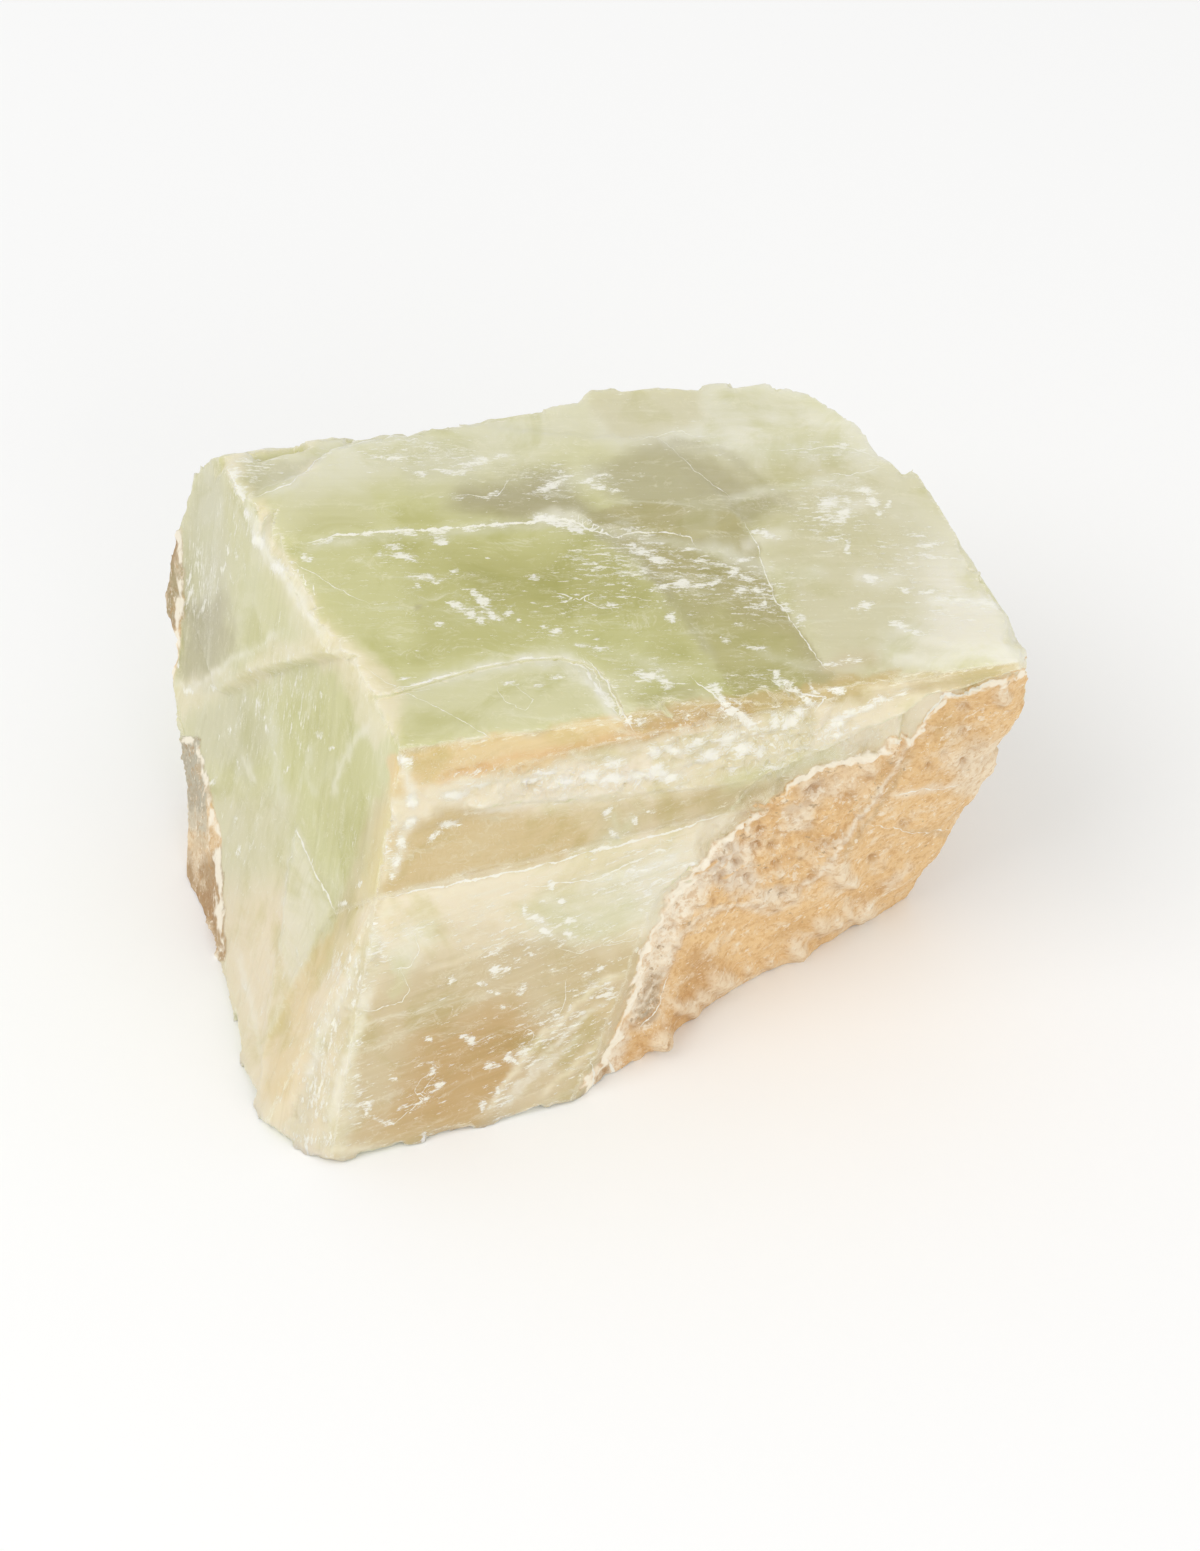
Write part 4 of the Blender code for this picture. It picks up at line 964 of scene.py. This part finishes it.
    ("front", "milk", 0.45, 14, ((390, 962), (420, 952))),
    ("front", "tan", 0.4, 10, ((430, 928), (470, 930), (500, 925))),
    ("front", "cream", 0.8, 4, ((482, 1118), (510, 1077), (535, 1044), (556, 1023), (594, 988), (632, 970))),
    ("front", "frost", 0.5, 3, ((500, 1112), (540, 1070), (590, 1030))),
    ("front", "tan", 0.6, 3, ((520, 1096), (560, 1062), (600, 1026))),
    ("front", "cream", 0.7, 3, ((540, 1096), (575, 1066), (606, 1036))),
    ("front", "tan", 0.5, 2.5, ((548, 1102), (584, 1072), (610, 1044))),
    ("front", "frost", 0.6, 2.5, ((506, 1098), (540, 1062), (580, 1020), (606, 1000))),
    ("front", "cream", 0.6, 4, ((321, 1152), (346, 1150), (374, 1144))),
    # along the terrace's edge: bark as painted shadow at the foot of its step, and wall as its pale edge with
    # painted highlight
    ("front", "bark", 0.45, 3, ((914, 746), (909, 756), (893, 787), (872, 817), (851, 846), (836, 872))),
    ("front", "wall", 0.9, 2.4, ((908, 740), (903, 752), (886, 782), (865, 811), (844, 840), (828, 862),
        (812, 878), (792, 892))),
    ("front", "wall", 0.7, 2.4, ((768, 903), (745, 904), (706, 911), (694, 924), (681, 938), (670, 962),
        (660, 984))),
    ("front", "wall", 0.45, 7, ((724, 994), (750, 982), (800, 962))),
    ("front", "bark", 0.85, 6, ((657, 982), (648, 998), (636, 1018))),
    ("front", "slate", 0.5, 3, ((655, 996), (646, 1008), (640, 1018))),
    ("front", "wall", 0.8, 1.6, ((660, 978), (650, 990), (644, 1004), (634, 1012))),
    ("front", "bark", 0.8, 5, ((607, 1066), (603, 1076), (598, 1086))),
    ("front", "wall", 0.7, 4, ((891, 797), (925, 790), (961, 784))),
    ("front", "bark", 0.35, 3, ((903, 828), (930, 832), (955, 834))),
    ("front", "wall", 0.55, 4, ((882, 888), (898, 878), (914, 864))),
    ("front", "wall", 0.6, 4, ((740, 902), (770, 912), (800, 900))),
    ("front", "wall", 0.5, 4, ((785, 940), (820, 934), (856, 920), (880, 905))),
)


def strokesOn(tint):
    for face, colour, strength, reach, line in strokes:
        gap, along = lineGap(line, *wavered(4))
        ends = ease(-0.02, 0.12, along) * ease(1.02, 0.88, along) * 0.85 + 0.15
        layOver(tint, colour, strength * ends * np.exp(-(gap / reach) ** 2) * faces[face])


strokesOn(tint)
flakeShare = flakeField()
scuffShare = scuffField()
seamOffset, seamWidth = seamFields()
terraceShare = ease(-3, 3, terraceGap) * faces["front"] * seen
print("flakes and lines laid")

# heights and depths in millimetres
reliefSetting = {
    "fineSize": 1.1,
    "coarseSize": 3.2,
    "waveSize": 6.0,
    "gritSize": 0.9,
    "lumpSize": 2.2,
    "swellSize": 5.0,
    "waviness": 0.05,
    "chipReach": 0.9,
    "chipDepth": 0.28,
    "crustGrain": 0.055,
    "terraceGrain": 0.30,
    "crustSwell": 0.22,
    "crustRim": 0.30,
    "crumble": 0.5,
    "crumbleFrom": (37.5, 39.5),
    "limbRough": 0.5,
    "bevelRough": 0.45,
    "hiddenRough": 0.18,
    "lumpHeight": 1.25,
    "crack": 0.10,
    "spare": 0.6,  # how far the relief may pass the solid's box
}

# how strongly the crust's painted light and shade go on: painted highlight on lumps and proud places, painted
# shadow at lumps' feet, painted shade with dirt in hollows
crustShading = {"lumpHighlight": 0.5, "lumpFootShadow": 0.85, "hollowShade": 0.45, "proudHighlight": 0.6}

# lumps and hollows of the crust: across, down and radius in the view, height in millimetres
crustLumps = (
    (838, 871, 12, 1.2), (852, 880, 7, 0.6), (797, 950, 10, 1.0), (867, 909, 9, 0.8), (858, 918, 7, 0.5),
    (1002, 695, 8, 0.9), (757, 896, 8, 0.7), (775, 900, 8, 0.7), (792, 892, 7, 0.7), (716, 981, 10, 0.9),
    (727, 977, 7, 0.6), (702, 996, 8, 0.7), (690, 1008, 8, 0.8), (677, 1006, 7, 0.6), (662, 1042, 11, 1.3),
    (870, 765, 9, 0.6), (852, 786, 8, 0.5), (893, 752, 8, 0.6), (906, 742, 6, 0.5), (815, 792, 7, -1.0),
    (808, 786, 6, 0.4), (756, 845, 5, -0.8), (737, 862, 5, -0.5), (746, 876, 4, -0.4), (722, 880, 4, -0.4),
    (714, 868, 4, -0.3), (728, 846, 4, -0.4), (604, 1073, 5, -0.3), (772, 845, 6, -0.5), (760, 830, 5, -0.4),
    (800, 850, 7, 0.4), (815, 862, 6, 0.4), (830, 850, 6, 0.4), (780, 870, 6, 0.4), (820, 924, 8, 0.7),
    (836, 920, 7, 0.6), (848, 912, 6, 0.5), (765, 800, 6, 0.4), (745, 830, 7, 0.5), (722, 850, 7, 0.5),
    (964, 707, 4, -0.4), (963, 732, 4, -0.4), (964, 763, 4, -0.5), (929, 766, 4, -0.4), (944, 754, 4, -0.3),
    (826, 842, 4, -0.4), (776, 862, 4, -0.4), (873, 859, 4, -0.4), (903, 824, 4, -0.3), (884, 862, 5, 0.3),
    (770, 962, 6, 0.4), (748, 968, 6, 0.4), (640, 1060, 6, 0.5), (626, 1076, 6, 0.4), (700, 898, 7, 0.5),
    (686, 916, 7, 0.4), (676, 940, 6, 0.4), (666, 962, 6, 0.4), (880, 790, 6, 0.3), (862, 812, 6, 0.3),
    (846, 836, 6, 0.35),
)


def paintLumpLightAndShade(tint):
    # lumps get a painted highlight above and a painted shadow at the foot; hollows are brown inside, painted
    # shade with dirt, with a pale painted highlight on the edge
    pale, dark = np.zeros(len(places)), np.zeros(len(places))
    for x, y, radius, height in crustLumps:
        awayX, awayY = (across - x) / radius, (down - y) / radius
        strength = min(1.0, 0.55 + 0.4 * abs(height))
        if height > 0:
            top = np.exp(-((awayX + 0.35) ** 2 + (awayY + 0.4) ** 2) / 0.55)
            foot = np.exp(-((awayX + 0.1) ** 2 + (awayY - 1.0) ** 2) / 0.30)
        else:
            top = np.exp(-((np.hypot(awayX, awayY) - 1.4) / 0.3) ** 2) * 0.7
            foot = np.exp(-(awayX ** 2 + awayY ** 2) / 0.4) * 0.7
        pale = np.maximum(pale, strength * top)
        dark = np.maximum(dark, strength * foot)
    crustInFront = faces["front"] * onCrust
    # painted highlight in the wall colour, painted shadow in the foot colour
    layOver(tint, "wall", crustShading["lumpHighlight"] * pale * crustInFront)
    layOver(tint, "foot", crustShading["lumpFootShadow"] * dark * crustInFront)


def relief():
    # how far each point moves out, in metres; clean is 1 off the crust
    setting = reliefSetting
    rise = steppedBy(layers)
    clean = 1 - ease(-0.2, 0.2, crust)
    fine, coarse = cloud(setting["fineSize"], 11), cloud(setting["coarseSize"], 12)
    rise += setting["waviness"] * cloud(setting["waveSize"], 13) * clean
    chip = ease(-0.05, 0.55, coarse + 0.45 * fine) * ease(setting["chipReach"], 0.0, edgeGap)
    rise -= setting["chipDepth"] * chip * clean
    grain = setting["crustGrain"] + (setting["terraceGrain"] - setting["crustGrain"]) * terraceShare
    lumpy = np.abs(cloud(setting["lumpSize"], 15)) - 0.25
    rise += grain * (0.9 * cloud(setting["gritSize"], 14) + 1.3 * lumpy) * (1 - clean)
    rise += setting["crustSwell"] * cloud(setting["swellSize"], 16) * (1 - clean)
    rim = np.exp(-((crust - 0.4) / 0.45) ** 2) * ease(-0.5, 0.4, coarse)
    rise += setting["crustRim"] * rim * seen
    crumbled = ease(0.3, 0.9, scuffShare) * faces["front"] * ease(*setting["crumbleFrom"], places[:, 2])
    rise += setting["crumble"] * np.minimum(fine + 0.4 * coarse, 0.25) * crumbled * clean
    limb = faces["leftEnd"] * ease(-0.2, 0.3, facing - 0.9 * (facing > 0.35))
    rise += setting["limbRough"] * limb * (fine + coarse)
    bevel = faces["seen"] * ease(-6, 6, outlineGap(bevelOutline, across, down)) * clean
    rise += setting["bevelRough"] * bevel * np.minimum(coarse + 0.5 * fine, 0.3)
    rough = faces["hidden"] * (faces["back"] + faces["right"]).clip(0, 1) * clean
    rise += setting["hiddenRough"] * rough * (fine + coarse)
    for x, y, radius, height in crustLumps:
        lump = np.exp(-((across - x) ** 2 + (down - y) ** 2) / radius ** 2)
        rise += setting["lumpHeight"] * height * lump * faces["front"]
    rise -= setting["crack"] * np.exp(-(seamOffset / 0.3) ** 2) * ease(0, 0.05, seamWidth) * clean
    return rise / perMetre


def grainPlaces():
    # millimetres along and across the run of the cleavage on each face
    runs = np.zeros((len(places), 3)) + (0.98, -0.19, 0.0)
    runs[faces["left"] > 0.5] = faceSetting["steepRun"]
    runs[(faces["front"] > 0.5) & (faces["top"] < 0.5) & (faces["left"] < 0.5)] = (0.988, 0.0, 0.152)
    runs /= np.linalg.norm(runs, axis=1)[:, None]
    sides = np.cross(faceNormals, runs)
    return np.stack([(places * way).sum(1) for way in (runs, sides, faceNormals)], axis=1)


def raiseRelief(rise):
    # moves the points along their normals, within the solid's box and a little spare
    moved = atRest + rowsOf(stone.data.vertex_normals, "vector") * rise[:, None]
    low, high = (np.array(corner) for corner in cadBox)
    spare = reliefSetting["spare"] / perMetre
    moved = np.clip(moved, low - spare, high + spare)
    moved[:, 2] = np.maximum(moved[:, 2], 0.0)
    stone.data.vertices.foreach_set("co", moved.ravel())
    stone.data.update()
    stone.data.polygons.foreach_set("use_smooth", [True] * len(stone.data.polygons))
    stone.data.set_sharp_from_angle(angle=math.radians(meshSetting["smoothAngle"]))


def setAttribute(name, values, kind="FLOAT", field="value"):
    made = stone.data.attributes.new(name, kind, "POINT")
    made.data.foreach_set(field, np.ascontiguousarray(values, dtype=np.float32).ravel())


grain = grainPlaces()
rise = relief()
paintLumpLightAndShade(tint)
# painted shade and dirt darken the crust's low places, and painted highlight and wear lighten its proud ones
layOver(tint, "foot", crustShading["hollowShade"] * (ease(0.10, -0.45, rise * perMetre) * onCrust))
layOver(tint, "paleSand", crustShading["proudHighlight"] * (ease(0.15, 0.7, rise * perMetre) * onCrust))
raiseRelief(rise)
setAttribute("tint", np.c_[tint, np.ones(len(tint))], "FLOAT_COLOR", "color")
setAttribute("grain", grain, "FLOAT_VECTOR", "vector")
pointFields = {
    "crust": crust,
    "flake": flakeShare,
    "scuff": scuffShare,
    "seamOffset": seamOffset,
    "seamWidth": seamWidth,
    "edgeGap": edgeGap,
    "terrace": terraceShare,
    "fibrous": 0.12 + 0.2 * np.maximum(faces["left"], 0.8 * faces["front"]),
}
for name, values in pointFields.items():
    setAttribute(name, values)
print("relief raised")

calciteFinish = {
    "roughness": 0.34,
    "flakeRoughness": 0.7,
    "crustRoughness": 0.92,
    "flakeColour": (243, 241, 230),
    "edgeColour": (238, 232, 210),
    "veilColour": (228, 227, 208),
    "rimColour": (249, 241, 222),
    "poolShade": (238, 238, 214),
    "fibreShade": (236, 234, 220),
    "grainShade": (244, 236, 226),
    "glow": 0.5,  # how much light spreads inside the clear stone
    "glowDepth": 0.005,
    "glowSpread": (1.0, 1.0, 0.7),
    "refraction": 1.55,
    "bump": 0.5,
    "bumpDepth": 0.00025,
}

# scale, detail, roughness and distortion of each noise, for one millimetre
plainNoises = {
    "ragged": (1.3, 6.0, 0.7, 0.0),
    "veil": (0.085, 6.0, 0.6, 0.9),
    "grit": (1.6, 6.0, 0.7, 0.0),
    "patch": (0.30, 5.0, 0.65, 0.0),
    "chalk": (0.62, 6.0, 0.72, 0.0),
    "clay": (0.8, 5.0, 0.7, 0.0),
    "pit": (1.15, 3.0, 0.6, 0.0),
    "rim": (0.35, 3.0, 0.6, 0.0),
}

# the same for noises drawn out along the cleavage: scale along and across it, then the rest
drawnNoises = {
    "splinter": (0.6, 2.4, 6.0, 0.8, 0.0),
    "fibre": (0.05, 1.3, 5.0, 0.65, 0.0),
    "wisp": (0.10, 0.36, 6.0, 0.62, 1.2),
    "smoke": (0.16, 0.28, 5.0, 0.6, 2.4),
    "crumb": (1.7, 4.6, 4.0, 0.75, 0.0),
    "hair": (0.22, 0.5, 3.0, 0.55, 0.7),
    "web": (0.30, 0.95, 5.0, 0.62, 0.5),
    "fleck": (0.9, 2.2, 5.0, 0.75, 0.0),
}


class NodeBench:
    # short calls that add and join the nodes of one material
    def __init__(self, name):
        self.material = bpy.data.materials.new(name)
        self.material.use_nodes = True
        self.tree = self.material.node_tree
        self.tree.nodes.clear()

    def fill(self, socket, value):
        if isinstance(value, bpy.types.NodeSocket):
            self.tree.links.new(value, socket)
        else:
            socket.default_value = value

    def add(self, kind, values=None, **settings):
        node = self.tree.nodes.new(kind)
        for key, value in settings.items():
            setattr(node, key, value)
        for key, value in (values or {}).items():
            self.fill(node.inputs[key], value)
        return node

    def attribute(self, name, socket="Fac"):
        return self.add("ShaderNodeAttribute", attribute_name=name).outputs[socket]

    def math(self, operation, *values, clamp=False):
        values = dict(enumerate(values))
        return self.add("ShaderNodeMath", values, operation=operation, use_clamp=clamp).outputs[0]

    def times(self, first, second):
        return self.math("MULTIPLY", first, second)

    def less(self, first, second):
        return self.math("SUBTRACT", first, second)

    def most(self, first, second):
        return self.math("MAXIMUM", first, second)

    def gap(self, first, second):
        return self.math("ABSOLUTE", self.less(first, second))

    def line(self, value, slope, start, clamp=False):
        return self.math("MULTIPLY_ADD", value, slope, start, clamp=clamp)

    def stretch(self, vector, scale):
        return self.add("ShaderNodeVectorMath", {0: vector, 1: scale}, operation="MULTIPLY").outputs[0]

    def noise(self, vector, scale, detail, roughness, distortion):
        values = {"Vector": vector, "Scale": scale, "Detail": detail, "Roughness": roughness,
                  "Distortion": distortion}
        return self.add("ShaderNodeTexNoise", values).outputs["Fac"]

    def rising(self, value, low, high, top=1.0):
        values = {"Value": value, "From Min": low, "From Max": high, "To Min": 0.0, "To Max": top}
        return self.add("ShaderNodeMapRange", values, interpolation_type="SMOOTHSTEP").outputs[0]

    def mix(self, share, first, second, blend="MIX"):
        node = self.add("ShaderNodeMix", data_type="RGBA", blend_type=blend)
        for index, value in ((0, share), (6, first), (7, second)):
            self.fill(node.inputs[index], value)
        return node.outputs[2]

    def shade(self, colour, shade):
        return self.mix(1.0, colour, colourOf(shade), "MULTIPLY")


def colourOf(name):
    # a colour of the stone or of its finish
    return (*linear({**stoneColours, **calciteFinish}[name]), 1.0)


def makeNoises(bench, grainPlace):
    # every noise of the stone by name, plain ones in millimetres, drawn ones along the cleavage
    world = bench.stretch(bench.add("ShaderNodeTexCoord").outputs["Object"], (perMetre,) * 3)
    noises = {name: bench.noise(world, *values) for name, values in plainNoises.items()}
    for name, (along, aside, *rest) in drawnNoises.items():
        noises[name] = bench.noise(bench.stretch(grainPlace, (along, aside, aside)), 1.0, *rest)
    return noises


def clearStone(bench, tintColour, noises, fibrous):
    # milky veils, deeper green pools, thin wisps and fibres
    veilColour, edgeColour = colourOf("veilColour"), colourOf("edgeColour")
    veil, wisp, fibre = noises["veil"], noises["wisp"], noises["fibre"]
    colour = bench.mix(bench.rising(veil, 0.54, 0.80, 0.22), tintColour, veilColour)
    colour = bench.mix(bench.rising(veil, 0.52, 0.30), colour, bench.shade(colour, "poolShade"))
    colour = bench.mix(bench.rising(wisp, 0.54, 0.74, 0.30), colour, veilColour)
    filament = bench.rising(bench.gap(noises["smoke"], 0.5), 0.03, 0.0, 0.26)
    colour = bench.mix(bench.times(filament, bench.rising(wisp, 0.42, 0.6)), colour, edgeColour)
    colour = bench.mix(bench.times(bench.rising(fibre, 0.5, 0.68, 0.34), fibrous), colour, edgeColour)
    dark = bench.times(bench.rising(fibre, 0.47, 0.34), fibrous)
    return bench.mix(dark, colour, bench.shade(colour, "fibreShade"))


def seamMask(bench, noises):
    # the lines where layers break, frayed by the noise
    frayed = bench.times(bench.attribute("seamWidth"), bench.line(noises["ragged"], 5.6, -1.9))
    offset = bench.math("ABSOLUTE", bench.attribute("seamOffset"))
    return bench.rising(bench.less(frayed, offset), -0.02, 0.02)


def bruises(bench, noises, lined):
    # white marks: placed flakes, scuffs, layer lines and hairlines
    flake, scuff = bench.attribute("flake"), bench.attribute("scuff")
    splinter, wisp = noises["splinter"], noises["wisp"]
    halo = bench.math("ADD", flake, bench.line(splinter, 2.6, -1.15))
    halo = bench.rising(halo, -0.05, 0.85, 0.5)
    core = bench.line(noises["crumb"], 4.2, bench.line(splinter, 2.6, -3.62))
    core = bench.rising(bench.math("ADD", flake, core), -0.05, 0.2)
    scuffed = bench.rising(bench.less(splinter, bench.line(scuff, -0.125, 0.655)), 0.0, 0.03, 0.9)
    hair = bench.rising(bench.gap(noises["hair"], 0.47), 0.0045, 0.001)
    hair = bench.times(hair, bench.rising(noises["ragged"], 0.5, 0.6))
    hair = bench.times(hair, bench.rising(scuff, 0.2, 0.8, 0.8))
    web = bench.rising(bench.gap(noises["web"], 0.5), 0.020, 0.003)
    web = bench.times(web, bench.rising(wisp, 0.50, 0.60))
    web = bench.times(web, bench.rising(scuff, 0.4, 0.95, 0.75))
    placed = bench.most(bench.most(halo, core), scuffed)
    return bench.most(placed, bench.most(lined, bench.most(hair, web)))


def crustLook(bench, tintColour, noises, crustPlace, lined):
    # sandy grains with chalk, clay, darker pits and a pale broken rim; gives the colour and the pits
    terrace = bench.attribute("terrace")
    patch, chalk = noises["patch"], noises["chalk"]
    colour = bench.mix(bench.rising(patch, 0.5, 0.68, 0.6), tintColour, colourOf("paleSand"))
    colour = bench.mix(bench.rising(patch, 0.46, 0.32, 0.3), colour, colourOf("rust"))
    chalky = bench.rising(bench.less(chalk, bench.line(terrace, -0.035, 0.585)), 0.0, 0.05, 0.65)
    colour = bench.mix(chalky, colour, colourOf("wall"))
    colour = bench.mix(bench.rising(noises["clay"], 0.46, 0.34, 0.35), colour, colourOf("umber"))
    colour = bench.mix(bench.rising(noises["grit"], 0.40, 0.54), bench.shade(colour, "grainShade"), colour)
    colour = bench.mix(bench.rising(noises["fleck"], 0.59, 0.63, 0.7), colour, colourOf("wall"))
    pits = bench.rising(bench.less(noises["pit"], bench.line(terrace, -0.04, 0.685)), 0.0, 0.05, 0.7)
    colour = bench.mix(pits, colour, colourOf("bark"))
    rim = bench.less(bench.line(noises["rim"], 2.2, -0.75), bench.gap(crustPlace, 0.3))
    colour = bench.mix(bench.rising(rim, -0.05, 0.3, 0.9), colour, colourOf("rimColour"))
    return bench.mix(bench.times(lined, 0.85), colour, colourOf("flakeColour")), pits


def calciteMaterial():
    # clear stone under the bruises, with the crust over it
    bench = NodeBench("calcite")
    tintColour = bench.attribute("tint", "Color")
    crustPlace = bench.attribute("crust")
    fibrous = bench.attribute("fibrous")
    noises = makeNoises(bench, bench.attribute("grain", "Vector"))
    fibre, splinter = noises["fibre"], noises["splinter"]

    lined = seamMask(bench, noises)
    bruise = bruises(bench, noises, lined)
    worn = bench.less(bench.line(splinter, 3.6, -1.6), bench.attribute("edgeGap"))
    stoneColour = clearStone(bench, tintColour, noises, fibrous)
    stoneColour = bench.mix(bench.rising(worn, -0.1, 0.3, 0.8), stoneColour, colourOf("edgeColour"))
    stoneColour = bench.mix(bench.times(bruise, 0.88), stoneColour, colourOf("flakeColour"))
    crustColour, pits = crustLook(bench, tintColour, noises, crustPlace, lined)
    crusted = bench.rising(bench.line(bench.less(splinter, 0.5), 0.9, crustPlace), -0.04, 0.04)

    roughness = bench.line(fibre, 0.25, calciteFinish["roughness"] - 0.12)
    roughness = bench.line(bruise, calciteFinish["flakeRoughness"] - 0.35, roughness)
    crustRough = bench.less(calciteFinish["crustRoughness"], roughness)
    roughness = bench.line(crusted, crustRough, roughness, clamp=True)
    stoneHeight = bench.line(bruise, 0.3, bench.times(fibre, fibrous))
    stoneHeight = bench.line(splinter, 0.2, stoneHeight)
    crustHeight = bench.line(noises["grit"], 0.2, bench.times(pits, -1.6))
    crustHeight = bench.line(noises["chalk"], 2.2, crustHeight)
    height = bench.line(crusted, bench.less(crustHeight, stoneHeight), stoneHeight)
    bump = bench.add("ShaderNodeBump", {"Height": height, "Strength": calciteFinish["bump"],
                                        "Distance": calciteFinish["bumpDepth"]})
    shader = bench.add("ShaderNodeBsdfPrincipled", {
        "Base Color": bench.mix(crusted, stoneColour, crustColour),
        "Roughness": roughness,
        "IOR": calciteFinish["refraction"],
        "Normal": bump.outputs["Normal"],
        "Subsurface Weight": bench.times(bench.less(1.0, crusted), calciteFinish["glow"]),
        "Subsurface Radius": calciteFinish["glowSpread"],
        "Subsurface Scale": calciteFinish["glowDepth"],
    })
    bench.add("ShaderNodeOutputMaterial", {"Surface": shader.outputs["BSDF"]})
    return bench.material


stone.data.materials.clear()
stone.data.materials.append(calciteMaterial())
print("stone painted")

studio = {
    "floorSize": 3.0,
    "floorColour": (0.95, 0.95, 0.945, 1.0),
    "floorRoughness": 0.9,
    "floorGloss": 0.1,
    "skyStrength": 0.80,
    "keyPower": 2.92,
    "keyPlace": (-0.55, -0.25, 0.9),
    "keySize": 0.7,
    "fillPower": 1.8,
    "fillPlace": (0.35, -0.95, 0.35),
    "fillSize": 0.8,
}


def makeFloor():
    bm = bmesh.new()
    bmesh.ops.create_grid(bm, x_segments=1, y_segments=1, size=studio["floorSize"] / 2)
    mesh = bpy.data.meshes.new("studioFloor")
    bm.to_mesh(mesh)
    bm.free()
    floor = bpy.data.objects.new("studioFloor", mesh)
    bpy.context.scene.collection.objects.link(floor)
    bench = NodeBench("studioFloor")
    shader = bench.add("ShaderNodeBsdfPrincipled", {
        "Base Color": studio["floorColour"],
        "Roughness": studio["floorRoughness"],
        "Specular IOR Level": studio["floorGloss"],
    })
    bench.add("ShaderNodeOutputMaterial", {"Surface": shader.outputs["BSDF"]})
    mesh.materials.append(bench.material)


def makeLight(name, place, size, power):
    data = bpy.data.lights.new(name, "AREA")
    data.shape = "DISK"
    data.size = size
    data.energy = power
    made = bpy.data.objects.new(name, data)
    made.location = place
    made.rotation_euler = (-Vector(place)).to_track_quat("-Z", "Y").to_euler()
    bpy.context.scene.collection.objects.link(made)


def makeSky():
    world = bpy.data.worlds.new("studioSky")
    world.use_nodes = True
    sky = world.node_tree.nodes["Background"].inputs
    sky["Color"].default_value = (1, 1, 1, 1)
    sky["Strength"].default_value = studio["skyStrength"]
    bpy.context.scene.world = world


makeFloor()
makeLight("keyLight", studio["keyPlace"], studio["keySize"], studio["keyPower"])
makeLight("fillLight", studio["fillPlace"], studio["fillSize"], studio["fillPower"])
makeSky()
bpy.context.scene.view_settings.view_transform = "Standard"
bpy.context.scene.view_settings.look = "None"
print("studio lit")

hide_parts("raw_calcite")
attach(stone, "root")
